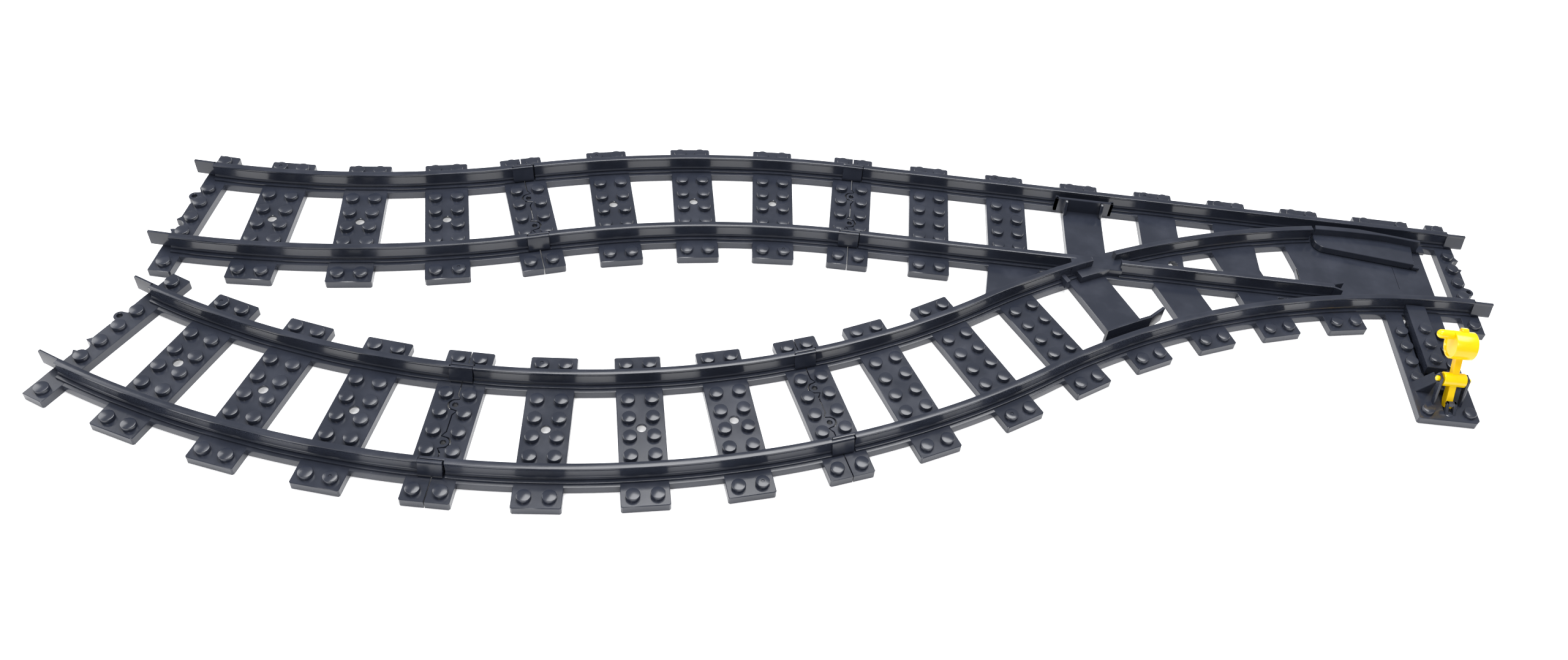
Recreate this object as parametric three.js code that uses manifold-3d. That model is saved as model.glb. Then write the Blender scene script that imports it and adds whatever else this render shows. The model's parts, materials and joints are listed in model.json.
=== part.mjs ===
// A brick-system railway turnout with a hand lever, and four curve sections plugged onto its two routes.
//
// Everything is laid out in the track frame, in millimetres: x runs along the straight route from its toe,
// y points to the side that the branch leaves on, and z is up from the underside. The exported group turns
// this half round, so that +X runs from the far ends to the toe, the lever is at the front (-Y), and the
// origin is the bottom centre of the bounding box.
import * as THREE from "three";
import { mergeVertices } from "three/addons/utils/BufferGeometryUtils.js";
import Module from "manifold-3d";

const wasm = await Module();
wasm.setup();

// ---------- driving dimensions ----------

// the brick grid
const PITCH = 8; // stud to stud
const PLATE = 3.2; // a plate's height, and so a tie's
const STUD_R = 2.4;
const STUD_H = 1.7;
const STUD_SIDES = 8;

// track
const GAUGE = 5 * PITCH; // rail centre to rail centre
const STRAIGHT_LENGTH = 32 * PITCH;
const CURVE_RADIUS = 40 * PITCH;
const CURVE_TURN = THREE.MathUtils.degToRad(22.5);
const BRANCH_TURN = Math.asin(0.6); // the branch's first curve, which the second one turns back to CURVE_TURN
const TIE_SPACING = 4 * PITCH;
const TIE_WIDTH = 2 * PITCH;
const TIE_HALF = 4 * PITCH; // half a tie's length
const TIE_HOLE_R = 1.6;
const CORE_WALL = 1.5; // the wall round the hollow under a tie
const CORE_SKIN = 1; // the tie's thickness over its hollow
const THROAT_CORE_END = 0; // how far the throat ties' hollows reach on the branch's side
const JOINT_GAP = 0.3; // between two pieces that touch
// the turns of the two curves after the straight route, flexed as they are laid
const LAID_TURNS = [20.1, 22].map(THREE.MathUtils.degToRad);

// rail section, as half widths and heights
const RAIL_TOP = 9.6;
const HEAD_HALF = 1.2;
const HEAD_DEPTH = 1;
const WEB_HALF = 1;
const FLANGE_HALF = 2.6;
const FLANGE_TOP = 4;
const BEAM_HALF = 3.8; // the beam between the ties, under each rail
const NEAR_RAIL = GAUGE / 2;
const FAR_RAIL = -GAUGE / 2;

// section ends
const RING_R = 2.1;
const RING_HOLE_R = 1;
const PRONG_LENGTH = 1;
const TAB_REACH = 0.45 * PITCH; // how far a rail tab passes the end of its ties
const TAB_ROOT = 0.5 * PITCH;

// frog and check rails
const FLOOR_TOP = 2 * PLATE; // wheel flanges roll on this floor through the frog
const FLANGEWAY = 5.2; // rail centre to the edge of the frog floor
const CHECK_OFFSET = 0.65 * PITCH; // rail centre to check rail centre
const CHECK_HALF = 0.6;
// the straight route's near rail meets the branch's far rail here
const FROG_X = Math.sqrt(2 * CURVE_RADIUS * GAUGE);
const CLOSURE_START = 7.7 * PITCH; // the straight closure rail's free end
const FORK_TIPS = [
  [7.2 * PITCH, 2.2 * PITCH],
  [7.35 * PITCH, 2.75 * PITCH],
]; // where the two guiding prongs at that end reach
const FORK_HALF = 0.4;
const FLOOR_X = [FROG_X - 1.6 * PITCH, FROG_X + 0.8 * PITCH];
const CHECK_WALL_X = [FROG_X - 1.5 * PITCH, FROG_X + 1.5 * PITCH];
const THROAT_HOLE = [15.55 * PITCH, 1.4 * PITCH];
const THROAT_HOLE_R = 2;

// tongue
const HEEL = [7.4 * PITCH, -1.3 * PITCH]; // its pivot
const TONGUE_THROW = THREE.MathUtils.degToRad(7); // from the straight route to the branch
const TONGUE_TIP_X = 2.3 * PITCH;
const TABLE_TOP = 2 * PLATE;
const PIVOT_R = 1.6;
const DRIVE_PIN_R = 0.9;
const PIN_PLAY = 0.6; // round the drive pin in the base's slot
const HEEL_GAP = 1; // between the tongue's heel and the curved closure rail
const HEEL_END_X = HEEL[0] + 0.45 * PITCH;
const TOE_STOP = [1.75 * PITCH, 2.2 * PITCH, -2.05 * PITCH, -1.5 * PITCH]; // the block past the tongue's tip
const TOE_STOP_TOP = 4.4;

// lever and its linkage
const LEVER_X = 3.45 * PITCH;
const HUB_Y = 8.4 * PITCH;
const HUB_Z = 12;
const HUB_R = 2.65;
const HUB_HALF = 4.3;
const TRUNNION_R = 1;
const TRUNNION_HALF = 6.6;
// the lever's lean from upright: towards the track at rest, and away from it when thrown
const LEVER_LEAN = THREE.MathUtils.degToRad(32.5);
const WEIGHT_R = 5.3;
const WEIGHT_HALF = 4.2;
const WEIGHT_REACH = 13.3; // hub axis to weight axis
const HANDLE_R = 1.7;
const HANDLE_REACH = 4.2; // past the weight
const ARM_HALF = 1.3;
const ARM_BACK = -1.7;
const ARM_FRONT = 1.2;
const ARM_TOP = WEIGHT_REACH + WEIGHT_R + 1.2;
const FOOT_REACH = 10.9; // hub axis to the foot's end
const DECK_SKIN = 1; // the plate's thickness over the mechanism
const BAR_HALF = 2.3;
const BAR_BOTTOM = 0.9;
const BAR_TOP = 1.9;
const LUG_TOP = BAR_TOP + 1.1;
const DRIVE_PIN_Y = -PITCH; // the tongue's drive pin at rest
const MECHANISM_COVER_TOP = 2 * PLATE;
const BOTTOM_COVER_TOP = 0.6;
const SPRING_WIRE_R = 0.35;

// the plate that carries the lever, and what is cut in it
const DECK_LEFT = 5 * PITCH;
const DECK_RIGHT = 2.05 * PITCH;
const DECK_FRONT = 10 * PITCH;
const DECK_CORNER = 1.4;
const COVER_LEG = 0.8; // the thickness of the mechanism cover's legs, either side of the throw bar
const COVER_LEFT = LEVER_X - BAR_HALF - 0.5 - COVER_LEG;
const COVER_X = [COVER_LEFT, COVER_LEFT + PITCH];
const COVER_Y = [2.85 * PITCH, 7.05 * PITCH];
const SLOT_HALF = BAR_HALF - 0.5; // the slot that the lever's foot swings in
const SLOT_Y = [HUB_Y - 8.6, HUB_Y + 8];
const PUSH_Y = [SLOT_Y[0] + 5.9, SLOT_Y[1] - 1.5]; // the faces of the bar that the foot pushes
const LUG = 1; // the bar's thickness beyond them
const CHANNEL_HALF = BAR_HALF + JOINT_GAP;
const CHANNEL_END = -16.2; // the channel for the throw bar, under the fan plate
const POCKET_X = [2.4 * PITCH, 4.7 * PITCH];
const POCKET_Y = [3.5 * PITCH, 9.6 * PITCH];
const SEAM_X = 3.75 * PITCH; // the moulded line in the fan plate
const SEAM_Y = [-0.3 * PITCH, 1.34 * PITCH];
const SEAM_SIZE = 0.2; // its width and its depth

// the lever's bracket; its y are from the hub's axis
const CHEEK_INNER = HUB_HALF + JOINT_GAP;
const CHEEK_OUTER = CHEEK_INNER + 1;
const BRACKET_TOP = HUB_Z + 1.7;
const BRACKET_TOP_HALF = 1.7;
const BRACKET_FEET = [-6.4, 5.6];
const ARCH_FEET = [-4.2, 3.6];
const ARCH_TOP = HUB_Z - 2.6;
const BUTTRESS_X = [CHEEK_INNER + 0.5, CHEEK_OUTER + 5.6];
const BUTTRESS_Y = [-5.2, -0.2];
const BUTTRESS_TOP = HUB_Z - 2;
const STOP_HALF = 1.5;
const STOP_HEAD = [6.1, 7.4];
const STOP_TOP = PLATE + 3.4;

// ---------- shapes ----------

const CYLINDER_SIDES = 16;
const SWEEP_STEP = 24; // along a curved rail
const BURIED = 0.4; // how deep a piece starts inside the one that it is joined to

/** A three.js geometry as a solid, with its shared vertices merged. */
function solid(geometry) {
  const bare = geometry.clone();
  bare.deleteAttribute("normal");
  bare.deleteAttribute("uv");
  const merged = mergeVertices(bare, 1e-4);
  return new wasm.Manifold(
    new wasm.Mesh({
      numProp: 3,
      vertProperties: merged.attributes.position.array,
      triVerts: new Uint32Array(merged.index.array),
    }),
  );
}

/** The geometries in `added` joined, less those in `cut`, as one geometry. */
function carve(added, cut = []) {
  let body = added.map(solid).reduce((a, b) => a.add(b));
  if (cut.length) {
    body = body.subtract(cut.map(solid).reduce((a, b) => a.add(b)));
  }
  const mesh = body.getMesh();
  return new THREE.BufferGeometry()
    .setAttribute("position", new THREE.BufferAttribute(mesh.vertProperties, 3))
    .setIndex(new THREE.BufferAttribute(mesh.triVerts, 1));
}

/** The outline [[x, y], ...] extruded from z0 to z1. */
function prism(outline, z0, z1) {
  const shape = new THREE.Shape(outline.map(([x, y]) => new THREE.Vector2(x, y)));
  return new THREE.ExtrudeGeometry(shape, { depth: z1 - z0, bevelEnabled: false }).translate(0, 0, z0);
}

function box(x0, x1, y0, y1, z0, z1) {
  const geometry = new THREE.BoxGeometry(x1 - x0, y1 - y0, z1 - z0);
  return geometry.translate((x0 + x1) / 2, (y0 + y1) / 2, (z0 + z1) / 2);
}

function cylinder(x, y, z0, z1, radius, sides = CYLINDER_SIDES) {
  return new THREE.CylinderGeometry(radius, radius, z1 - z0, sides)
    .rotateX(Math.PI / 2)
    .translate(x, y, (z0 + z1) / 2);
}

/** A cylinder along x, centred on y and z. */
function barrel(x0, x1, y, z, radius, sides = CYLINDER_SIDES) {
  return new THREE.CylinderGeometry(radius, radius, x1 - x0, sides)
    .rotateZ(Math.PI / 2)
    .translate((x0 + x1) / 2, y, z);
}

/** The outline [[y, z], ...], extruded along x. */
function sideways(outline, x0, x1) {
  const turned = new THREE.Matrix4().set(0, 0, 1, 0, 1, 0, 0, 0, 0, 1, 0, 0, 0, 0, 0, 1);
  return prism(outline, x0, x1).applyMatrix4(turned);
}

const stud = (x, y, z = PLATE) => cylinder(x, y, z - BURIED, z + STUD_H, STUD_R, STUD_SIDES);

/** A level line or arc, `offset` to the left of its centre line. */
class Track extends THREE.Curve {
  constructor(x, y, heading, length, turn = 0, offset = 0) {
    super();
    Object.assign(this, { x, y, heading, length, turn, offset });
  }

  headingAt(s) {
    return this.heading + (this.turn * s) / this.length;
  }

  /** The point at distance s along the centre line, moved `offset` to the left. */
  at(s, offset = this.offset) {
    const heading = this.headingAt(s);
    const middle = (this.heading + heading) / 2;
    const half = (heading - this.heading) / 2;
    const chord = s * (Math.abs(half) < 1e-9 ? 1 : Math.sin(half) / half);
    return [
      this.x + chord * Math.cos(middle) - offset * Math.sin(heading),
      this.y + chord * Math.sin(middle) + offset * Math.cos(heading),
    ];
  }

  getPoint(t) {
    return new THREE.Vector3(...this.at(t * this.length), 0);
  }

  getTangent(t) {
    const heading = this.headingAt(t * this.length);
    return new THREE.Vector3(Math.cos(heading), Math.sin(heading), 0);
  }

  /** The frame at s: x along the track, y to its left; or looking back along it. */
  frame(s, backwards = false) {
    const [x, y] = this.at(s, 0);
    return new THREE.Matrix4()
      .makeTranslation(x, y, 0)
      .multiply(new THREE.Matrix4().makeRotationZ(this.headingAt(s) + (backwards ? Math.PI : 0)));
  }

  /** The stretch from s0 to s1, `offset` to the left. */
  stretch(s0, s1, offset) {
    const [x, y] = this.at(s0, 0);
    return new Track(x, y, this.headingAt(s0), s1 - s0, (this.turn * (s1 - s0)) / this.length, offset);
  }
}

/** A section [[y, z], ...] swept along a track; y is to the left of the way it runs. */
function sweep(section, track) {
  const steps = track.turn ? Math.max(2, Math.round(track.length / SWEEP_STEP)) : 1;
  const shape = new THREE.Shape(section.map(([y, z]) => new THREE.Vector2(-z, y)));
  return new THREE.ExtrudeGeometry(shape, { steps, bevelEnabled: false, extrudePath: track });
}

const mirrored = (half) => [...half, ...half.map(([y, z]) => [-y, z]).reverse()];

const RAIL = mirrored([
  [FLANGE_HALF, PLATE - BURIED],
  [FLANGE_HALF, FLANGE_TOP],
  [WEB_HALF, FLANGE_TOP + 0.6],
  [WEB_HALF, RAIL_TOP - HEAD_DEPTH - 0.4],
  [HEAD_HALF, RAIL_TOP - HEAD_DEPTH],
  [HEAD_HALF, RAIL_TOP],
]);
const BEAM = mirrored([
  [BEAM_HALF, 0],
  [BEAM_HALF, PLATE],
]);

/** A plank across the track at s, between two offsets, with studs at each [along, across] in pitches. */
function tie(track, s, { width = TIE_WIDTH, from = -TIE_HALF, to = TIE_HALF, studs = [] } = {}) {
  const place = track.frame(s);
  const plank = box(-width / 2, width / 2, from, to, 0, PLATE);
  return [plank, ...studs.map(([a, b]) => stud(a * PITCH, b * PITCH))].map((g) => g.applyMatrix4(place));
}

/** The hollow under a whole tie, between two offsets. */
function core(track, s, from = FAR_RAIL + BEAM_HALF, to = NEAR_RAIL - BEAM_HALF) {
  const half = TIE_WIDTH / 2 - CORE_WALL;
  return box(-half, half, from, to, -1, PLATE - CORE_SKIN).applyMatrix4(track.frame(s));
}

const grid = (alongs, acrosses) => alongs.flatMap((a) => acrosses.map((b) => [a, b]));
const PAIR = [-0.5, 0.5];
const INNER = [-1.5, -0.5, 0.5, 1.5];
const NEAR = [3.5];
const FAR = [-3.5];
const ROW = [...FAR, ...INNER, ...NEAR];

/**
 * The end of a section, in a frame that looks outwards. A ring on its right plugs into the next section's
 * socket, a socket with two prongs on its left takes the next one's ring, and each rail ends in a half-width
 * tab on its right, beside a recess.
 */
function sectionEnd(place) {
  const prong = (y, side, grow) =>
    prism(
      [
        [-1 - grow, y + side * (RING_R + 0.2 - grow)],
        [PRONG_LENGTH + grow, y + side * (RING_R + 0.5)],
        [-1 - grow, y + side * (RING_R + 1.9 + grow)],
      ],
      -grow,
      PLATE + grow,
    );
  const tab = (rail) =>
    sweep(
      [
        [-JOINT_GAP / 2, PLATE + JOINT_GAP],
        [-JOINT_GAP / 2, RAIL_TOP],
        [-HEAD_HALF, RAIL_TOP],
        [-HEAD_HALF, RAIL_TOP - HEAD_DEPTH],
        [-FLANGE_HALF, FLANGE_TOP + 0.6],
        [-FLANGE_HALF, PLATE + JOINT_GAP],
      ],
      new Track(-TAB_ROOT, 0, 0, TAB_ROOT + TAB_REACH, 0, rail),
    );
  const recess = (rail) =>
    box(-TAB_ROOT - JOINT_GAP, PITCH, rail - JOINT_GAP / 2, rail + FLANGE_HALF + 1, PLATE, RAIL_TOP + 1);
  const rails = [GAUGE / 2, -GAUGE / 2];
  const put = (list) => list.map((g) => g.applyMatrix4(place));
  return {
    beyond: put([box(-JOINT_GAP / 2, 2 * PITCH, -TIE_HALF - PITCH, TIE_HALF + PITCH, -1, RAIL_TOP + 1)]),
    added: put([
      cylinder(0, -PITCH, 0, PLATE, RING_R),
      prong(PITCH, 1, 0),
      prong(PITCH, -1, 0),
      ...rails.map(tab),
    ]),
    cut: put([
      cylinder(0, PITCH, -1, PLATE + 1, RING_R + JOINT_GAP),
      cylinder(0, -PITCH, -1, PLATE + 1, RING_HOLE_R, STUD_SIDES),
      prong(-PITCH, 1, JOINT_GAP),
      prong(-PITCH, -1, JOINT_GAP),
      ...rails.map(recess),
    ]),
  };
}

/** Joins a section's pieces, trims it at its ends, and gives each end its coupling and rail tabs. */
function section(pieces, holes, ends) {
  const trimmed = carve(pieces, ends.flatMap((e) => e.beyond));
  return carve([trimmed, ...ends.flatMap((e) => e.added)], [...ends.flatMap((e) => e.cut), ...holes]);
}

/** A rail and the beam under it, along a track. */
const railOn = (track) => [sweep(RAIL, track), sweep(BEAM, track)];

const HALF_TIE = { width: PITCH, studs: grid([0], ROW) };

// ---------- curve section ----------

/** A curve section that turns by `turn`: 22.5 degrees as moulded, or a little less as laid. */
function curveSection(x, y, heading, turn) {
  const length = CURVE_RADIUS * CURVE_TURN;
  const track = new Track(x, y, heading, length, turn);
  const middles = [1, 2, 3].map((k) => (k * length) / 4);
  const pieces = [
    ...middles.flatMap((s) => tie(track, s, { studs: grid(PAIR, ROW) })),
    ...[PITCH / 2, length - PITCH / 2].flatMap((s) => tie(track, s, HALF_TIE)),
    ...[GAUGE / 2, -GAUGE / 2].flatMap((offset) => railOn(track.stretch(0, length, offset))),
  ];
  const holes = middles.flatMap((s) => [
    cylinder(...track.at(s, 0), -1, PLATE + 1, TIE_HOLE_R, STUD_SIDES),
    core(track, s),
  ]);
  const ends = [sectionEnd(track.frame(0, true)), sectionEnd(track.frame(length))];
  return { track, geometry: section(pieces, holes, ends) };
}

// ---------- turnout ----------

const straight = new Track(0, 0, 0, STRAIGHT_LENGTH);
const firstCurve = new Track(0, 0, 0, CURVE_RADIUS * BRANCH_TURN, BRANCH_TURN);
const backTurn = BRANCH_TURN - CURVE_TURN;
const turningPoint = firstCurve.at(firstCurve.length, 0);
const secondCurve = new Track(...turningPoint, BRANCH_TURN, CURVE_RADIUS * backTurn, -backTurn);
const branchLength = firstCurve.length + secondCurve.length;

/** The branch's curve that holds the distance s, and s along that curve. */
const onBranch = (s) => (s < firstCurve.length ? [firstCurve, s] : [secondCurve, s - firstCurve.length]);
const branchAt = (s, offset) => {
  const [curve, along] = onBranch(s);
  return curve.at(along, offset);
};

/** The stretch of the branch from s0 to s1, `offset` to its left, over one of its curves or both. */
class BranchStretch extends THREE.Curve {
  constructor(s0, s1, offset) {
    super();
    Object.assign(this, { s0, length: s1 - s0, turn: BRANCH_TURN, offset });
  }

  getPoint(t) {
    return new THREE.Vector3(...branchAt(this.s0 + t * this.length, this.offset), 0);
  }

  getTangent(t) {
    const [curve, s] = onBranch(this.s0 + t * this.length);
    const heading = curve.headingAt(s);
    return new THREE.Vector3(Math.cos(heading), Math.sin(heading), 0);
  }
}

/** How far along the branch its far rail reaches the given x, on the first curve. */
const farRailAt = (x) => CURVE_RADIUS * Math.asin(x / (CURVE_RADIUS + GAUGE / 2));

const FROG_S = farRailAt(FROG_X);
const HEEL_END_S = farRailAt(HEEL_END_X + HEEL_GAP);

/** The turnout's ties with their studs, the fan plate under the tongue, and the web between the two legs. */
function turnoutPlates() {
  const far = (x, more) => tie(straight, x, { to: NEAR_RAIL, ...more });
  const outer = grid(PAIR, FAR);
  const branchTie = (s, more) => tie(...onBranch(s), { from: FAR_RAIL, studs: grid(PAIR, NEAR), ...more });
  const fan = prism(
    [
      [1.95 * PITCH, FAR_RAIL],
      [9 * PITCH, FAR_RAIL],
      [9 * PITCH, NEAR_RAIL + PITCH / 4],
      [1.95 * PITCH, NEAR_RAIL + PITCH / 4],
    ],
    0,
    PLATE,
  );
  const legWeb = prism(
    [
      [FROG_X + 2 * PITCH, NEAR_RAIL],
      [FROG_X + 5 * PITCH, NEAR_RAIL],
      branchAt(farRailAt(FROG_X + 5 * PITCH) + 0.3 * PITCH, FAR_RAIL),
    ],
    0,
    PLATE,
  );
  return [
    ...tie(straight, PITCH / 2, HALF_TIE),
    ...tie(straight, 3.5 * PITCH, { width: 3 * PITCH, to: FAR_RAIL, studs: grid([-1, 1], FAR) }),
    fan,
    ...[2, 3, 4, 5].flatMap((k) => far(k * TIE_SPACING, { studs: outer })),
    ...far(6 * TIE_SPACING, { studs: grid(PAIR, [...FAR, ...INNER]) }),
    ...tie(straight, 7 * TIE_SPACING, { studs: grid(PAIR, ROW) }),
    ...tie(straight, STRAIGHT_LENGTH - PITCH / 2, HALF_TIE),
    ...[2, 3, 4, 5].flatMap((k) => branchTie(k * TIE_SPACING)),
    ...branchTie(6 * TIE_SPACING, { studs: grid(PAIR, [...INNER, ...NEAR]) }),
    ...[7, 8].flatMap((k) => branchTie(k * TIE_SPACING, { from: -TIE_HALF, studs: grid(PAIR, ROW) })),
    ...branchTie(branchLength - PITCH / 2, { from: -TIE_HALF, ...HALF_TIE }),
    legWeb,
    box(...TOE_STOP, PLATE - BURIED, TOE_STOP_TOP),
  ];
}

/** The stock rails and closure rails of both routes, on their beams. */
function turnoutRails() {
  const nose = { closure: FROG_X - 1.5 * PITCH, branch: FROG_X - 1.2 * PITCH, frog: FROG_X };
  const nearTrack = (x0, x1) => straight.stretch(x0, x1, NEAR_RAIL);
  return [
    ...railOn(straight.stretch(0, STRAIGHT_LENGTH, FAR_RAIL)),
    sweep(RAIL, nearTrack(CLOSURE_START, nose.closure)),
    sweep(RAIL, nearTrack(nose.frog + 0.8 * PITCH, STRAIGHT_LENGTH)),
    sweep(BEAM, nearTrack(8 * PITCH, STRAIGHT_LENGTH)),
    ...railOn(new BranchStretch(0, branchLength, NEAR_RAIL)),
    sweep(RAIL, new BranchStretch(HEEL_END_S, farRailAt(nose.branch), FAR_RAIL)),
    sweep(RAIL, new BranchStretch(FROG_S, branchLength, FAR_RAIL)),
    sweep(BEAM, new BranchStretch(8 * PITCH, branchLength, FAR_RAIL)),
  ];
}

/** The two thin prongs that spread from the straight closure rail's free end and guide a wheel past it. */
function closureFork() {
  return FORK_TIPS.map(([x, y]) => {
    const side = Math.sign(y - NEAR_RAIL);
    const root = NEAR_RAIL + side * (HEAD_HALF - FORK_HALF);
    const outline = [
      [x, y - FORK_HALF],
      [CLOSURE_START + BURIED, root - FORK_HALF],
      [CLOSURE_START + BURIED, root + FORK_HALF],
      [x, y + FORK_HALF],
    ];
    return prism(outline, PLATE - BURIED, RAIL_TOP);
  });
}

/** The raised floor and point of the frog, and the check rails opposite it. */
function frog() {
  const across = [
    [-BEAM_HALF, PLATE - BURIED],
    [-BEAM_HALF, FLOOR_TOP],
    [FLANGEWAY, FLOOR_TOP],
    [FLANGEWAY, PLATE - BURIED],
  ];
  const onBranchRail = (x0, x1) => sweep(across, firstCurve.stretch(farRailAt(x0), farRailAt(x1), FAR_RAIL));
  const floor = [
    onBranchRail(...FLOOR_X),
    box(...FLOOR_X, NEAR_RAIL - FLANGEWAY, NEAR_RAIL + BEAM_HALF / 2, 0, FLOOR_TOP),
    onBranchRail(FROG_X + 1.4 * PITCH, FROG_X + 1.6 * PITCH),
  ];
  const point = prism(
    [
      [FROG_X, NEAR_RAIL - HEAD_HALF],
      [FROG_X + 1.1 * PITCH, NEAR_RAIL - HEAD_HALF],
      branchAt(farRailAt(FROG_X + 1.1 * PITCH), FAR_RAIL + HEAD_HALF),
      branchAt(FROG_S, FAR_RAIL + HEAD_HALF),
    ],
    PLATE,
    RAIL_TOP,
  );
  return [...floor, point, ...farCheckRail(), ...nearCheckRail()];
}

/** The wall beside the far rail, with a lip at each end and two ribs behind it. */
function farCheckRail() {
  const y = FAR_RAIL + CHECK_OFFSET;
  const t = CHECK_HALF;
  const low = PLATE - BURIED;
  const wall = box(...CHECK_WALL_X, y - t, y + t, low, RAIL_TOP);
  const lip = (x) => box(x - t, x + t, y - 2 * t, y + t, low, RAIL_TOP);
  const rib = (x) =>
    sideways(
      [
        [y, low],
        [y, RAIL_TOP - 0.4],
        [y + 1.6, RAIL_TOP - 0.8],
        [y + 3.6, PLATE],
        [y + 3.6, low],
      ],
      x - t,
      x + t,
    );
  const inside = PITCH - t;
  const lips = [lip(CHECK_WALL_X[0] + t), lip(CHECK_WALL_X[1] - t)];
  return [wall, ...lips, rib(FROG_X - inside), rib(FROG_X + inside)];
}

/** The wall beside the branch's near rail, flared at its end nearer the toe. */
function nearCheckRail() {
  const wall = mirrored([
    [CHECK_HALF, PLATE - BURIED],
    [CHECK_HALF, RAIL_TOP],
  ]);
  const s = 5 * TIE_SPACING;
  const offset = NEAR_RAIL - CHECK_OFFSET;
  const main = firstCurve.stretch(s - PITCH, s + 1.7 * PITCH, offset);
  const [x, y] = firstCurve.at(s - PITCH + 0.2, offset);
  const flare = new Track(x, y, firstCurve.headingAt(s - PITCH) + Math.PI + 0.3, PITCH, 0);
  return [sweep(wall, main), sweep(wall, flare)];
}

/** The outline [[x, z], ...], extruded along y. */
const lengthways = (outline, y0, y1) => prism(outline, -y1, -y0).rotateX(Math.PI / 2);

/** The plate beside the track that the lever's bracket stands on, with its studs. */
function leverPlate() {
  const outline = [
    [DECK_LEFT, NEAR_RAIL],
    [DECK_LEFT, DECK_FRONT],
    [DECK_RIGHT + DECK_CORNER, DECK_FRONT],
    [DECK_RIGHT, DECK_FRONT - DECK_CORNER],
    [DECK_RIGHT, NEAR_RAIL],
  ];
  const rows = [4.5, 5.5, 6.5, 7.5, 9.5];
  const studs = rows.flatMap((y) => [stud(4.5 * PITCH, y * PITCH), stud(2.5 * PITCH, y * PITCH)]);
  return [prism(outline, 0, PLATE), ...studs];
}

/** The two A-frames that carry the lever's trunnions, the buttress beside one, and the stop by its foot. */
function leverBracket() {
  const low = PLATE - BURIED;
  const leg = [
    [HUB_Y + BRACKET_FEET[0], low],
    [HUB_Y - BRACKET_TOP_HALF, BRACKET_TOP],
    [HUB_Y + BRACKET_TOP_HALF, BRACKET_TOP],
    [HUB_Y + BRACKET_FEET[1], low],
    [HUB_Y + ARCH_FEET[1], low],
    [HUB_Y, ARCH_TOP],
    [HUB_Y + ARCH_FEET[0], low],
  ];
  const stop = [
    [SLOT_Y[1] + 0.2, low],
    [HUB_Y + STOP_HEAD[0], STOP_TOP],
    [HUB_Y + STOP_HEAD[1], STOP_TOP],
    [SLOT_Y[1] + 2.6, low],
  ];
  const buttress = [
    [LEVER_X + BUTTRESS_X[0], low],
    [LEVER_X + BUTTRESS_X[0], BUTTRESS_TOP],
    [LEVER_X + BUTTRESS_X[1], low],
  ];
  return [
    sideways(leg, LEVER_X - CHEEK_OUTER, LEVER_X - CHEEK_INNER),
    sideways(leg, LEVER_X + CHEEK_INNER, LEVER_X + CHEEK_OUTER),
    lengthways(buttress, HUB_Y + BUTTRESS_Y[0], HUB_Y + BUTTRESS_Y[1]),
    sideways(stop, LEVER_X - STOP_HALF, LEVER_X + STOP_HALF),
  ];
}

/** What is cut out for the mechanism: its pocket and channel, the slots over it, and the tongue's holes. */
function mechanismCuts() {
  const ceiling = PLATE - DECK_SKIN;
  const pin = DRIVE_PIN_R + PIN_PLAY;
  const drivenY = DRIVE_PIN_Y - driveTravel();
  const flange = [FAR_RAIL + WEB_HALF, FAR_RAIL + FLANGE_HALF + 1];
  const coverRoom = [COVER_X[0] - 0.5, COVER_X[1] + 1, COVER_Y[0] - 0.5, SLOT_Y[0] + 0.5];
  return [
    box(...POCKET_X, ...POCKET_Y, -1, ceiling),
    box(LEVER_X - CHANNEL_HALF, LEVER_X + CHANNEL_HALF, CHANNEL_END, POCKET_Y[0] + 1, -1, ceiling),
    box(...coverRoom, ceiling - 0.5, MECHANISM_COVER_TOP + 0.4),
    box(LEVER_X - SLOT_HALF, LEVER_X + SLOT_HALF, SLOT_Y[0], SLOT_Y[1], ceiling - 0.5, PLATE + 0.1),
    box(LEVER_X - pin, LEVER_X + pin, drivenY - pin, DRIVE_PIN_Y + pin, ceiling - 0.5, PLATE + 1),
    cylinder(...HEEL, -1, PLATE + 1, PIVOT_R + JOINT_GAP),
    barrel(LEVER_X - CHEEK_OUTER - 1, LEVER_X + CHEEK_OUTER + 1, HUB_Y, HUB_Z, TRUNNION_R + JOINT_GAP),
    box(SEAM_X - SEAM_SIZE / 2, SEAM_X + SEAM_SIZE / 2, ...SEAM_Y, PLATE - SEAM_SIZE, PLATE + 1),
    // the far rail's flange is planed away beside the tongue
    box(TONGUE_TIP_X - PITCH, HEEL_END_X + 2, ...flange, PLATE, FLANGE_TOP + 1),
  ];
}

/** The hollows under the turnout's whole ties, and the hole in its throat. */
function tieHollows() {
  return [
    ...[3, 4].map((k) => core(straight, k * TIE_SPACING, FAR_RAIL + BEAM_HALF, THROAT_CORE_END)),
    ...[6, 7].map((k) => core(straight, k * TIE_SPACING)),
    ...[6, 7, 8].map((k) => core(...onBranch(k * TIE_SPACING))),
    cylinder(...THROAT_HOLE, -1, PLATE + 1, THROAT_HOLE_R),
  ];
}

/** The turnout's fixed body, with its ends. */
function turnoutBase() {
  const ends = [
    sectionEnd(straight.frame(0, true)),
    sectionEnd(straight.frame(STRAIGHT_LENGTH)),
    sectionEnd(secondCurve.frame(secondCurve.length)),
  ];
  const pieces = [
    ...turnoutPlates(),
    ...turnoutRails(),
    ...closureFork(),
    ...frog(),
    ...leverPlate(),
    ...leverBracket(),
  ];
  return section(pieces, [...mechanismCuts(), ...tieHollows()], ends);
}

// ---------- mechanism ----------

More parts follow.
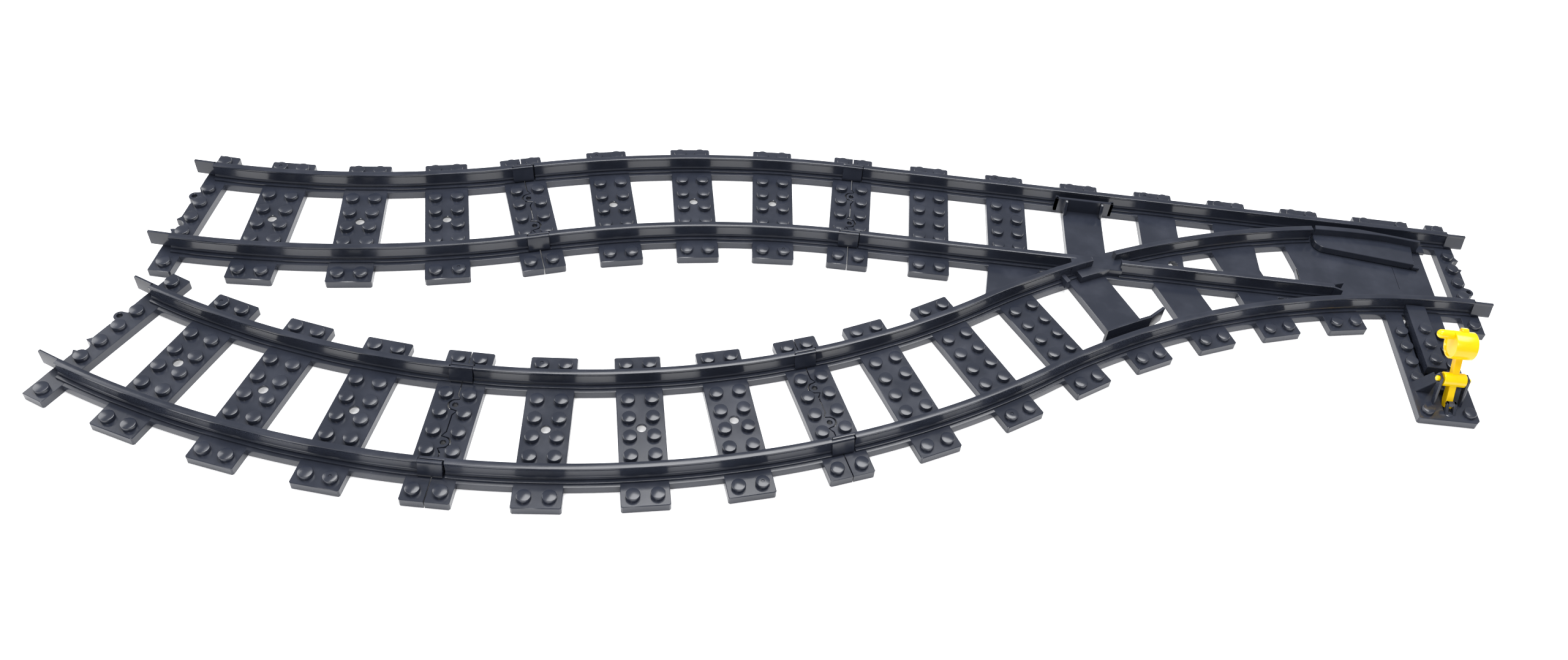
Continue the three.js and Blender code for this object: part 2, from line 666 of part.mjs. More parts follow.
/** The outline of the tongue, thrown against the far rail: its table, and the blade along its far edge. */
function tongueOutlines() {
  const radius = CURVE_RADIUS + GAUGE / 2;
  const arc = (x, r) => CURVE_RADIUS - Math.sqrt(r * r - x * x);
  const planed = FAR_RAIL + HEAD_HALF + 0.4; // clear of the far rail's head
  const farEdge = (x) => Math.max(arc(x, radius + HEAD_HALF), planed);
  const nearEdge = (x) => Math.max(arc(x, radius - HEAD_HALF), farEdge(x) + HEAD_HALF);
  const tableNear = -0.765 * PITCH;
  const xs = Array.from({ length: 9 }, (_, k) => THREE.MathUtils.lerp(TONGUE_TIP_X, HEEL_END_X, k / 8));
  const corner = 0.6 * PITCH;
  const round = [0, 1, 2, 3].map((k) => {
    const a = (k / 3) * (Math.PI / 2);
    return [HEEL_END_X - corner + corner * Math.cos(a), tableNear - corner + corner * Math.sin(a)];
  });
  const blade = [...xs.map((x) => [x, farEdge(x)]), ...xs.map((x) => [x, nearEdge(x)]).reverse()];
  const table = [
    ...xs.slice(1).map((x) => [x, farEdge(x) + 0.2]),
    ...round,
    [TONGUE_TIP_X + 0.35 * PITCH, tableNear],
    [TONGUE_TIP_X + 0.35 * PITCH, farEdge(xs[0]) + 0.2],
  ];
  return { blade, table, tableNear };
}

/** How far the tongue's drive pin moves across the track between its two positions. */
function driveTravel() {
  const arm = [LEVER_X - HEEL[0], DRIVE_PIN_Y - HEEL[1]];
  return -(arm[0] * Math.sin(TONGUE_THROW) + arm[1] * (Math.cos(TONGUE_THROW) - 1));
}

/** The tongue as it lies for the straight route. */
function tongue() {
  const { blade, table, tableNear } = tongueOutlines();
  const bottom = PLATE + JOINT_GAP;
  const toRest = new THREE.Matrix4()
    .makeTranslation(...HEEL, 0)
    .multiply(new THREE.Matrix4().makeRotationZ(-TONGUE_THROW))
    .multiply(new THREE.Matrix4().makeTranslation(-HEEL[0], -HEEL[1], 0));
  const thrown = [
    prism(blade, bottom, RAIL_TOP),
    prism(table, bottom, TABLE_TOP),
    box(TONGUE_TIP_X, TONGUE_TIP_X + 0.5 * PITCH, tableNear - 0.25 * PITCH, tableNear, bottom, bottom + 1.4),
  ].map((g) => g.applyMatrix4(toRest));
  const pins = [
    cylinder(...HEEL, BAR_BOTTOM, bottom + BURIED, PIVOT_R),
    cylinder(LEVER_X, DRIVE_PIN_Y, BAR_BOTTOM, bottom + BURIED, DRIVE_PIN_R),
  ];
  return carve([...thrown, ...pins]);
}

/**
 * The flat bar under the deck that takes the lever's throw to the tongue. The lever's foot moves freely
 * between its two lugs.
 */
function throwBar() {
  const ends = [DRIVE_PIN_Y - 3, PUSH_Y[1] + 2 * LUG];
  const plate = box(LEVER_X - BAR_HALF, LEVER_X + BAR_HALF, ...ends, BAR_BOTTOM, BAR_TOP);
  const lugAt = (y) => box(LEVER_X - ARM_HALF, LEVER_X + ARM_HALF, y, y + LUG, BAR_TOP - BURIED, LUG_TOP);
  const slot = DRIVE_PIN_R + PIN_PLAY;
  const pinch = DRIVE_PIN_R + JOINT_GAP;
  const pinSlot = box(LEVER_X - slot, LEVER_X + slot, DRIVE_PIN_Y - pinch, DRIVE_PIN_Y + pinch, 0, PLATE);
  const window = box(LEVER_X - ARM_HALF - JOINT_GAP, LEVER_X + ARM_HALF + JOINT_GAP, ...PUSH_Y, 0, PLATE);
  return carve([plate, lugAt(PUSH_Y[0] - LUG), lugAt(PUSH_Y[1])], [pinSlot, window]);
}

/** The hand lever: a round weight with a side handle on an arm, and the trunnions and foot below it. */
function lever() {
  const foot = [
    [ARM_FRONT, 0],
    [ARM_FRONT, -FOOT_REACH],
    [-1.8, -FOOT_REACH],
    [-2.6, -8],
    [ARM_BACK, 0],
  ];
  const handleZ = WEIGHT_REACH + WEIGHT_R - HANDLE_R;
  const handleEnd = WEIGHT_HALF + HANDLE_REACH;
  const knob = new THREE.SphereGeometry(HANDLE_R, CYLINDER_SIDES, 6);
  const pieces = [
    barrel(-HUB_HALF, HUB_HALF, 0, 0, HUB_R),
    barrel(-TRUNNION_HALF, TRUNNION_HALF, 0, 0, TRUNNION_R, STUD_SIDES),
    box(-ARM_HALF, ARM_HALF, ARM_BACK, ARM_FRONT, -1, ARM_TOP),
    sideways(foot, -ARM_HALF, ARM_HALF),
    barrel(-WEIGHT_HALF, WEIGHT_HALF, 0, WEIGHT_REACH, WEIGHT_R, 24),
    barrel(0, handleEnd, 0, handleZ, HANDLE_R),
    knob.rotateZ(Math.PI / 2).translate(handleEnd, 0, handleZ),
  ];
  return carve(pieces.map((g) => g.rotateX(LEVER_LEAN).translate(LEVER_X, HUB_Y, HUB_Z)));
}

/** The raised cover with three studs over the throw bar, on four legs that stand on the bottom cover. */
function mechanismCover() {
  const leg = (x, y) => box(x, x + COVER_LEG, y, y + 4, BAR_BOTTOM, PLATE);
  const ys = [COVER_Y[0] + 6.4, COVER_Y[1] - 4.2];
  const bottom = PLATE - DECK_SKIN + JOINT_GAP;
  return carve([
    box(...COVER_X, ...COVER_Y, bottom, MECHANISM_COVER_TOP),
    ...[4.55, 5.55, 6.55].map((y) => stud(COVER_LEFT + PITCH / 2, y * PITCH, MECHANISM_COVER_TOP)),
    ...ys.flatMap((y) => [leg(COVER_X[0], y), leg(COVER_X[1] - COVER_LEG, y)]),
  ]);
}

/** The thin plate that closes the mechanism's pocket and channel from below. */
function bottomCover() {
  const gap = JOINT_GAP;
  const half = CHANNEL_HALF - gap;
  return carve([
    box(POCKET_X[0] + gap, POCKET_X[1] - gap, POCKET_Y[0] + gap, POCKET_Y[1] - gap, 0, BOTTOM_COVER_TOP),
    box(LEVER_X - half, LEVER_X + half, CHANNEL_END + gap, POCKET_Y[0] + 1, 0, BOTTOM_COVER_TOP),
  ]);
}

/** The wire spring beside the bar, which holds the lever at either end of its throw. */
function toggleSpring() {
  const z = (BOTTOM_COVER_TOP + PLATE - DECK_SKIN) / 2;
  const inner = COVER_X[1] + 0.8;
  const outer = POCKET_X[1] - 1;
  const points = [
    [inner, SLOT_Y[1] - 6],
    [outer, HUB_Y - 4],
    [outer, POCKET_Y[0] + 6],
    [inner, POCKET_Y[0] + 2],
  ].map(([x, y]) => new THREE.Vector3(x, y, z));
  const wire = new THREE.Shape().absarc(0, 0, SPRING_WIRE_R, 0, 2 * Math.PI);
  return new THREE.ExtrudeGeometry(wire, {
    steps: 20,
    curveSegments: 6,
    bevelEnabled: false,
    extrudePath: new THREE.CatmullRomCurve3(points, false, "catmullrom", 0.15),
  });
}

// ---------- assembly ----------

const DARK = { color: 0x44464f, roughness: 0.35, metalness: 0 };
const YELLOW = { color: 0xffcc00, roughness: 0.3, metalness: 0 };
const STEEL = { color: 0xb8bcc2, roughness: 0.3, metalness: 1 };

function piece(name, geometry, look) {
  const mesh = new THREE.Mesh(geometry, new THREE.MeshStandardMaterial(look));
  mesh.name = name;
  return mesh;
}

/** The two curve sections plugged onto a route's end, each with its own turn. */
function curvePair(x, y, heading, turns) {
  const first = curveSection(x, y, heading, turns[0]);
  const { track } = first;
  const second = curveSection(...track.at(track.length, 0), track.headingAt(track.length), turns[1]);
  return [first.geometry, second.geometry];
}

const onStraight = curvePair(STRAIGHT_LENGTH, 0, 0, [LAID_TURNS[0], -LAID_TURNS[1]]);
const onBranchEnd = curvePair(...branchAt(branchLength, 0), CURVE_TURN, [-CURVE_TURN, -CURVE_TURN]);

const part = new THREE.Group();
part.add(
  piece("turnout_base", turnoutBase(), DARK),
  piece("point_tongue", tongue(), DARK),
  piece("throw_bar", throwBar(), DARK),
  piece("throw_lever", lever(), YELLOW),
  piece("mechanism_cover", mechanismCover(), DARK),
  piece("bottom_cover", bottomCover(), DARK),
  piece("toggle_spring", toggleSpring(), STEEL),
  piece("straight_route_curve_1", onStraight[0], DARK),
  piece("straight_route_curve_2", onStraight[1], DARK),
  piece("branch_route_curve_1", onBranchEnd[0], DARK),
  piece("branch_route_curve_2", onBranchEnd[1], DARK),
);
part.rotation.z = Math.PI;
const bounds = new THREE.Box3().setFromObject(part);
const middle = bounds.getCenter(new THREE.Vector3());
part.position.set(-middle.x, -middle.y, -bounds.min.z);

export default part;
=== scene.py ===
"""A railway turnout of a brick system with four curve sections, dressed for rendering.

Every piece is worked out in the track frame, in millimetres: x runs along the straight route from the toe,
y points to the side of the branch, and z is up from the surface that the track lies on. The lever's hinge in
the frame says where that is.
"""

from __future__ import annotations

import json
import logging
import math
from dataclasses import dataclass, field
from enum import Enum
from typing import Iterable, Sequence

import bpy
import numpy as np
from mathutils import Euler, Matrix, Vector
from mathutils.geometry import delaunay_2d_cdt

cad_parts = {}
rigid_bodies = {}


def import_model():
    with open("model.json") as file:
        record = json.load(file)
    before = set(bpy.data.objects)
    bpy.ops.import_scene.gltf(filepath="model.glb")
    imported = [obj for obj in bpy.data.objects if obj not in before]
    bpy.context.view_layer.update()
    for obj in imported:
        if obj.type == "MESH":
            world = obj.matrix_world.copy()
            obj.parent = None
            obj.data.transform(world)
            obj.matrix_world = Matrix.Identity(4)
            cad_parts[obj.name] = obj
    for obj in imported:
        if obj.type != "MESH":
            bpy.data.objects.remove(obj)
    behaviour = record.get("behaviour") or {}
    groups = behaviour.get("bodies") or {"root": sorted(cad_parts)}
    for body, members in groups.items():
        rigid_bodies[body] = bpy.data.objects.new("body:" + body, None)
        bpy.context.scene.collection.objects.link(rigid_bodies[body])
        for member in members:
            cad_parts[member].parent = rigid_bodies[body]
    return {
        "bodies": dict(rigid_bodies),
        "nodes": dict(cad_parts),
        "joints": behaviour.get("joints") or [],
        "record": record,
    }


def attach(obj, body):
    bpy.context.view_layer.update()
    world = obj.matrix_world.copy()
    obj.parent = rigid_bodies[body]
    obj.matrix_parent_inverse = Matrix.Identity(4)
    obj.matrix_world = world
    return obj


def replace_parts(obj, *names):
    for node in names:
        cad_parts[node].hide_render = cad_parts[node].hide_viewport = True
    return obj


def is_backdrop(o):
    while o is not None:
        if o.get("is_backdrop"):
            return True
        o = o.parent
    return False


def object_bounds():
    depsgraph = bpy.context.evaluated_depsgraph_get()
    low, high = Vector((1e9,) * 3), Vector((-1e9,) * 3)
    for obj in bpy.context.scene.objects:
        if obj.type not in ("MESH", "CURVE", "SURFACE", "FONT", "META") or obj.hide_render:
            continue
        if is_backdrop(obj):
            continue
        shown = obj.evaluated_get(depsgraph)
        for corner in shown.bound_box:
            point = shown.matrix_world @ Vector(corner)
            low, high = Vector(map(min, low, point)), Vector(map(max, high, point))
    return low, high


log = logging.getLogger("turnout")

Solid = tuple[np.ndarray, list[tuple[int, ...]]]
Point = tuple[float, float]

# ---------- the brick grid and the track's sizes, in millimetres ----------

PITCH = 8.0
PLATE = 3.2
STUD_R = 2.4
STUD_H = 1.7
GAUGE_HALF = 2.5 * PITCH
TIE_HALF = 4 * PITCH
TIE_WIDTH = 2 * PITCH
TIE_SPACING = 4 * PITCH
STRAIGHT_LENGTH = 32 * PITCH
CURVE_RADIUS = 40 * PITCH
CURVE_TURN = math.radians(22.5)
BRANCH_TURN = math.asin(0.6)
LAID_TURNS = (math.radians(20.1), math.radians(22.0))
JOINT_GAP = 0.3
RAIL_TOP = 9.6
HEAD_HALF = 1.2
WEB_HALF = 1.0
FOOT_HALF = 1.4
FLANGE_HALF = 2.6
FLANGE_TOP = 4.0
BEAM_HALF = 3.8
FLOOR_TOP = 2 * PLATE
TAB_ROOT = 0.5 * PITCH
TAB_REACH = 0.45 * PITCH
CHECK_OFFSET = 0.65 * PITCH
CHECK_HALF = 0.6
FORK_HALF = 0.4
CORE_WALL = 1.5  # the rim round the hollow under a tie
CORE_SKIN = 1.0  # the tie's thickness over its hollow
BURIED = 0.4  # how deep a piece starts inside the one it stands on
EDGE = 0.2  # the moulded edge's small bevel
LAYER = 0.015  # the step between flat pieces that run over each other, so that no two tops share a level
LEVER_X = 3.45 * PITCH
HUB_Y = 8.4 * PITCH
HUB_Z = 12.0


# ---------- shapes ----------


def outward(solid: Solid) -> Solid:
    """Turns a closed solid's faces outwards: its signed volume, summed from tetrahedra, must be positive.

    Args:
        solid: vertices and faces.

    Returns:
        The same solid, with its faces reversed if they pointed inwards.
    """
    points, faces = solid
    fans = [(f[0], f[k], f[k + 1]) for f in faces for k in range(1, len(f) - 1)]
    a, b, c = (points[np.array(fans)[:, k]] for k in range(3))
    if np.einsum("ij,ij->i", a, np.cross(b, c)).sum() > 0:
        return solid
    return points, [f[::-1] for f in faces]


def bridged(rings: Sequence[np.ndarray]) -> Solid:
    """A closed solid from rings of equally many points: quads between them, and a flat cap on each end.

    Args:
        rings: the rings in order, each an array of points.

    Returns:
        The solid.
    """
    count = len(rings[0])
    step = np.arange(count)
    after = (step + 1) % count
    faces: list[tuple[int, ...]] = []
    for k in range(len(rings) - 1):
        low = k * count
        quads = np.stack([low + step, low + after, low + count + after, low + count + step], axis=1)
        faces += [tuple(q) for q in quads.tolist()]
    last = (len(rings) - 1) * count
    faces += [tuple(step[::-1].tolist()), tuple((last + step).tolist())]
    return outward((np.concatenate(rings), faces))


def filleted(corners: Sequence[tuple[float, float, float]], steps: int = 3) -> np.ndarray:
    """An outline with rounded corners: each is a quadratic Bezier that starts and ends its radius away.

    Args:
        corners: (x, y, radius) of each corner in order.
        steps: points on each rounded corner.

    Returns:
        The outline's points.
    """
    points = np.array([c[:2] for c in corners])
    radii = np.array([c[2] for c in corners])[:, None]
    back = np.roll(points, 1, axis=0) - points
    ahead = np.roll(points, -1, axis=0) - points
    start = points + back / np.linalg.norm(back, axis=1)[:, None] * radii
    end = points + ahead / np.linalg.norm(ahead, axis=1)[:, None] * radii
    t = np.linspace(0, 1, steps)[None, :, None]
    curve = (1 - t) ** 2 * start[:, None] + 2 * t * (1 - t) * points[:, None] + t**2 * end[:, None]
    keep = np.where(radii[:, 0] > 0, steps, 1)
    return np.concatenate([curve[k, : keep[k]] for k in range(len(points))])


def inset(outline: np.ndarray, by: float) -> np.ndarray:
    """Moves each point of an anticlockwise outline in along its mitre, so that all sides move equally.

    Args:
        outline: the points.
        by: the distance.

    Returns:
        The smaller outline.
    """
    side = np.roll(outline, -1, axis=0) - outline
    side /= np.linalg.norm(side, axis=1)[:, None]
    normal = np.stack([-side[:, 1], side[:, 0]], axis=1)
    before = np.roll(normal, 1, axis=0)
    share = 1 + (normal * before).sum(axis=1)[:, None]
    return outline + by * (normal + before) / np.maximum(share, 0.3)


def area(outline: np.ndarray) -> float:
    """The signed area of an outline, positive where it runs anticlockwise."""
    x, y = outline.T
    return float((x * np.roll(y, -1) - np.roll(x, -1) * y).sum() / 2)


def inside(points: np.ndarray, loop: np.ndarray) -> np.ndarray:
    """Whether each point is inside a loop, by counting the sides that a ray to +x crosses."""
    a, b = loop, np.roll(loop, -1, axis=0)
    x, y = points[:, 0, None], points[:, 1, None]
    crosses = (a[:, 1] > y) != (b[:, 1] > y)
    with np.errstate(divide="ignore", invalid="ignore"):
        at = a[:, 0] + (y - a[:, 1]) * (b[:, 0] - a[:, 0]) / (b[:, 1] - a[:, 1])
    return (crosses & (x < at)).sum(axis=1) % 2 == 1


def flat_at(loops: Sequence[np.ndarray], z: float) -> np.ndarray:
    """The points of several outlines in one array, all at the height z."""
    points = np.concatenate(loops)
    return np.column_stack([points, np.full(len(points), z)])


def slab(outline: np.ndarray, low: float, high: float, holes: Iterable[np.ndarray] = (),
         edge: float = EDGE) -> Solid:
    """A flat piece with bevelled rims: walls along its outlines, and caps triangulated round the holes.

    Args:
        outline: the outer outline.
        low: the underside's height.
        high: the top's height.
        holes: the outlines of the holes through it.
        edge: the bevel's width.

    Returns:
        The solid.
    """
    loops = [outline if area(outline) > 0 else outline[::-1]]
    loops += [h if area(h) < 0 else h[::-1] for h in holes]
    starts = np.cumsum([0] + [len(loop) for loop in loops])
    total = int(starts[-1])
    shrunk = [inset(loop, edge) for loop in loops]
    levels = [(shrunk, low), (loops, low + edge), (loops, high - edge), (shrunk, high)]
    points = np.concatenate([flat_at(flat, z) for flat, z in levels])
    faces: list[tuple[int, ...]] = []
    edges: list[tuple[int, int]] = []
    for loop, start in zip(loops, starts):
        here = start + np.arange(len(loop))
        there = start + (np.arange(len(loop)) + 1) % len(loop)
        edges += list(zip(here.tolist(), there.tolist()))
        for k in range(3):
            quads = np.stack([here, there, there + total, here + total], axis=1) + k * total
            faces += [tuple(q) for q in quads.tolist()]
    flat = np.concatenate(shrunk)
    found = delaunay_2d_cdt([Vector(p) for p in flat], edges, [], 0, 1e-7)
    triangles = np.array([[found[3][v][0] for v in face] for face in found[2]])
    middles = flat[triangles].mean(axis=1)
    kept = inside(middles, shrunk[0])
    for hole in shrunk[1:]:
        kept &= ~inside(middles, hole)
    triangles = triangles[kept]
    faces += [tuple(t) for t in (triangles + 3 * total).tolist()]
    faces += [tuple(t) for t in triangles[:, ::-1].tolist()]
    return outward((points, faces))


def rectangle(x0: float, x1: float, y0: float, y1: float) -> np.ndarray:
    """The outline of a rectangle."""
    return np.array([[x0, y0], [x1, y0], [x1, y1], [x0, y1]], dtype=float)


def block(x0: float, x1: float, y0: float, y1: float, z0: float, z1: float, edge: float = EDGE) -> Solid:
    """A box with bevelled rims."""
    return slab(rectangle(x0, x1, y0, y1), z0, z1, edge=edge)


def circle(x: float, y: float, radius: float, sides: int = 24) -> np.ndarray:
    """The outline of a circle: points at equal angles."""
    angle = np.linspace(0, 2 * math.pi, sides, endpoint=False)
    return np.column_stack([x + radius * np.cos(angle), y + radius * np.sin(angle)])


def turned(profile: Sequence[Point], sides: int = 20) -> Solid:
    """A solid of revolution about z: each (radius, z) of the profile becomes a ring of points."""
    ring = circle(0, 0, 1, sides)
    return bridged([np.column_stack([ring * radius, np.full(sides, z)]) for radius, z in profile])


def sideways(solid: Solid) -> Solid:
    """Turns a solid drawn in (y, z) and extruded along z to run along x: x, y, z become y, z, x."""
    points, faces = solid
    return outward((points[:, [2, 0, 1]], faces))


def stood(solid: Solid) -> Solid:
    """Turns a solid drawn in (x, z) and extruded along z to run along y: x, y, z become x, z, y."""
    points, faces = solid
    return outward((points[:, [0, 2, 1]], faces))


def moved(solid: Solid, x: float, y: float, z: float = 0.0, heading: float = 0.0) -> Solid:
    """Turns a solid about z by a heading, as a row vector times the turn's matrix, and then moves it."""
    points, faces = solid
    c, s = math.cos(heading), math.sin(heading)
    return points @ np.array([[c, s, 0], [-s, c, 0], [0, 0, 1]]) + (x, y, z), faces


def barrel(x0: float, x1: float, radius: float, edge: float = 0.25, sides: int = 32) -> Solid:
    """A cylinder along x with bevelled rims."""
    outline = circle(0, 0, radius, sides)
    return sideways(slab(outline, x0, x1, edge=edge))


@dataclass(frozen=True)
class Track:
    """A level line or arc: its heading grows evenly from the start to the end.

    Attributes:
        x, y: the start.
        heading: the way it runs at the start, in radians.
        length: along the centre line.
        turn: how much the heading grows over the length.
    """

    x: float
    y: float
    heading: float
    length: float
    turn: float = 0.0

    def heading_at(self, s: np.ndarray | float) -> np.ndarray | float:
        """The heading at a distance s along the centre line."""
        return self.heading + self.turn * s / self.length

    def at(self, s: np.ndarray | float, offset: np.ndarray | float = 0.0) -> np.ndarray:
        """The points at distance s, moved to the left: an arc's chord runs at its mean heading.

        Args:
            s: distances along the centre line.
            offset: how far to the left.

        Returns:
            The points, one to a row, or one point.
        """
        heading = self.heading_at(s)
        middle, half = (self.heading + heading) / 2, (heading - self.heading) / 2
        chord = s * np.sinc(half / math.pi)
        return np.stack(
            [
                self.x + chord * np.cos(middle) - offset * np.sin(heading),
                self.y + chord * np.sin(middle) + offset * np.cos(heading),
            ],
            axis=-1,
        )

    def place(self, solid: Solid, s: float, backwards: bool = False) -> Solid:
        """Puts a solid that was drawn round the origin, with x along the track, at distance s."""
        x, y = self.at(s)
        return moved(solid, x, y, 0.0, float(self.heading_at(s)) + (math.pi if backwards else 0.0))

    def sweep(self, section: np.ndarray, s0: float, s1: float, offset: float, step: float = 3.0) -> Solid:
        """Carries a closed section along the track: each point (y, z) of it stays y to the left and z high.

        Args:
            section: the section's points.
            s0: where it starts along the centre line.
            s1: where it ends.
            offset: the section's own offset to the left.
            step: the longest stretch between two rings.

        Returns:
            The solid.
        """
        count = max(2, math.ceil((s1 - s0) / step) + 1) if self.turn else 2
        rings = []
        for s in np.linspace(s0, s1, count):
            flat = self.at(s, offset + section[:, 0])
            rings.append(np.column_stack([flat, section[:, 1]]))
        return bridged(rings)


def both_sides(half: Sequence[tuple[float, float, float]]) -> np.ndarray:
    """A section from the corners of its left half, mirrored, with each corner's fillet."""
    return filleted([*half, *[(-y, z, r) for y, z, r in reversed(half)]])


RAIL = both_sides(
    [
        (FLANGE_HALF, PLATE - BURIED, 0),
        (FLANGE_HALF, FLANGE_TOP, 0.15),
        (WEB_HALF + 0.15, FLANGE_TOP - 0.05, 0),
        (WEB_HALF + 0.15, FLANGE_TOP + 0.3, 0),
        (FOOT_HALF, FLANGE_TOP + 0.4, 0.05),
        (FOOT_HALF, FLANGE_TOP + 0.65, 0.08),
        (WEB_HALF, FLANGE_TOP + 1.1, 0.3),
        (WEB_HALF, RAIL_TOP - 1.1, 0.3),
        (HEAD_HALF, RAIL_TOP - 0.7, 0.1),
        (HEAD_HALF, RAIL_TOP, 0.3),
    ]
)
BEAM = both_sides([(BEAM_HALF, 0, EDGE), (BEAM_HALF, PLATE - 4 * LAYER, EDGE)])
CHECK = both_sides([(CHECK_HALF, PLATE - BURIED, 0), (CHECK_HALF, RAIL_TOP, 0.2)])
TAB = filleted(
    [
        (-JOINT_GAP / 2, FLANGE_TOP - 0.2, 0),
        (-JOINT_GAP / 2, RAIL_TOP, 0.1),
        (-HEAD_HALF, RAIL_TOP, 0.2),
        (-HEAD_HALF, RAIL_TOP - 1.0, 0.1),
        (-FLANGE_HALF, FLANGE_TOP + 0.6, 0.1),
        (-FLANGE_HALF, FLANGE_TOP - 0.2, 0),
    ]
)


# ---------- the pieces that every section shares ----------


def stud(x: float, y: float, base: float = PLATE, dimple: bool = False) -> Solid:
    """A stud: a short round boss with a bevelled rim, and on some the small dimple of the mould's gate."""
    top = base + STUD_H
    profile = [(STUD_R, base - BURIED), (STUD_R, top - 0.28), (STUD_R - 0.1, top - 0.08), (STUD_R - 0.3, top)]
    if dimple:
        profile += [(0.62, top), (0.5, top - 0.3)]
    return moved(turned(profile), x, y)


def grid(alongs: Iterable[float], acrosses: Iterable[float]) -> list[Point]:
    """Every pair of an along and an across, in pitches."""
    acrosses = list(acrosses)
    return [(a, b) for a in alongs for b in acrosses]


PAIR = (-0.5, 0.5)
INNER = (-1.5, -0.5, 0.5, 1.5)
NEAR = (3.5,)
FAR = (-3.5,)
ROW = (*FAR, *INNER, *NEAR)


@dataclass(frozen=True)
class Coupling:
    """The clip at a section's end: looking outwards, a ring on the right, a pronged socket on the left.

    Attributes:
        ring: the ring's radius.
        hole: the radius of the hole through it.
        prong: how far the prongs stand out.
        nose: the distance from the socket's middle to a prong's near root.
        root: the width of a prong's root.
    """

    ring: float = 2.1
    hole: float = 1.0
    prong: float = 1.0
    nose: float = 2.4
    root: float = 1.9

    def arc(self, x: float, y: float, radius: float, side: int) -> list[Point]:
        """Half a circle about (x, y) from low y to high y: outside the end if side is 1, inside it if -1."""
        angle = np.linspace(-math.pi / 2, math.pi / 2, 13)
        return list(zip((x + side * radius * np.cos(angle)).tolist(), (y + radius * np.sin(angle)).tolist()))

    def profile(self) -> list[Point]:
        """The end face's outline by growing y: the ring between notches, the socket between prongs."""
        x, gap = -JOINT_GAP / 2, JOINT_GAP
        low, high = -PITCH, PITCH
        foot = self.nose + self.root
        return [
            (x, low - foot - gap),
            (-self.prong - gap, low - self.nose - 0.1),
            *self.arc(x, low, self.ring, 1),
            (-self.prong - gap, low + self.nose + 0.1),
            (x, low + foot + gap),
            (x, high - foot),
            (self.prong, high - self.nose - 0.3),
            *self.arc(x, high, self.ring + gap, -1),
            (self.prong, high + self.nose + 0.3),
            (x, high + foot),
        ]


COUPLING = Coupling()


def tie(s: float, track: Track, width: float = TIE_WIDTH, low: float = -TIE_HALF, high: float = TIE_HALF,
        holes: Sequence[np.ndarray] = (), top: float = PLATE, edge: float = EDGE,
        wall: float = CORE_WALL) -> list[Solid]:
    """A tie across the track, with small chamfers on its corners: a skin, and under it a rim round a hollow.

    Args:
        s: where its middle stands along the track.
        track: the track.
        width: its size along the track.
        low: where it ends on the right.
        high: where it ends on the left.
        holes: the outlines of the holes through it.
        top: its height.
        edge: the bevel's width.
        wall: the rim's thickness on the side that looks back along the track.

    Returns:
        The skin and the rim.
    """
    w, c = width / 2, 0.5
    right = [(w - c, low), (w, low + c), (w, high - c), (w - c, high)]
    left = [(-w + c, high), (-w, high - c), (-w, low + c)]
    outline = np.array([(-w + c, low), *right, *left])
    reach = GAUGE_HALF - BEAM_HALF
    core = rectangle(-w + wall, w - CORE_WALL, max(-reach, low + CORE_WALL), min(reach, high - CORE_WALL))
    skin = slab(outline, top - CORE_SKIN, top, holes, edge)
    rim = slab(inset(outline, LAYER), 0, top - CORE_SKIN / 2, [core], edge=0.1)
    return [track.place(skin, s), track.place(rim, s)]


def end_tie(track: Track, s: float, backwards: bool) -> Solid:
    """The half tie at a section's end, with the coupling in its outer face.

    Args:
        track: the track.
        s: where the section ends.
        backwards: whether the end looks back along the track.

    Returns:
        The solid.
    """
    c = 0.5
    x = -JOINT_GAP / 2
    outline = [
        (-PITCH, -TIE_HALF + c),
        (-PITCH + c, -TIE_HALF),
        (x, -TIE_HALF),
        *COUPLING.profile(),
        (x, TIE_HALF),
        (-PITCH + c, TIE_HALF),
        (-PITCH, TIE_HALF - c),
    ]
    ring_hole = circle(0, -PITCH, COUPLING.hole, 16)
    return track.place(slab(np.array(outline), 0, PLATE, [ring_hole], edge=0.1), s, backwards)


def rail_ends(track: Track, s: float, backwards: bool) -> list[Solid]:
    """The half-width tabs by which both rails pass an end, on each rail's right looking outwards."""
    straight = Track(-TAB_ROOT - 0.2, 0, 0, TAB_ROOT + TAB_REACH + 0.2)
    tabs = [straight.sweep(TAB, 0, straight.length, side * GAUGE_HALF) for side in (-1, 1)]
    return [track.place(tab, s, backwards) for tab in tabs]


def studs_on(track: Track, s: float, places: Iterable[Point], dimples: Iterable[Point] = ()) -> list[Solid]:
    """Studs round a point of the track.

    Args:
        track: the track.
        s: the point's distance along it.
        places: how far along and across each stud stands, in pitches.
        dimples: the ones with a mould dimple.

    Returns:
        The studs.
    """
    marked = set(dimples)
    return [track.place(stud(a * PITCH, b * PITCH, dimple=(a, b) in marked), s) for a, b in places]


# ---------- materials ----------


def linear(hex_colour: str) -> tuple[float, float, float, float]:
    """An sRGB hex colour as linear red, green, blue and alpha."""
    parts = [int(hex_colour[k : k + 2], 16) / 255 for k in (1, 3, 5)]
    red, green, blue = (p / 12.92 if p <= 0.04045 else ((p + 0.055) / 1.055) ** 2.4 for p in parts)
    return red, green, blue, 1.0


def blank_material(name: str) -> bpy.types.Material:
    """A new material with an empty node tree."""
    material = bpy.data.materials.new(name)
    material.use_nodes = True
    material.node_tree.nodes.clear()
    return material


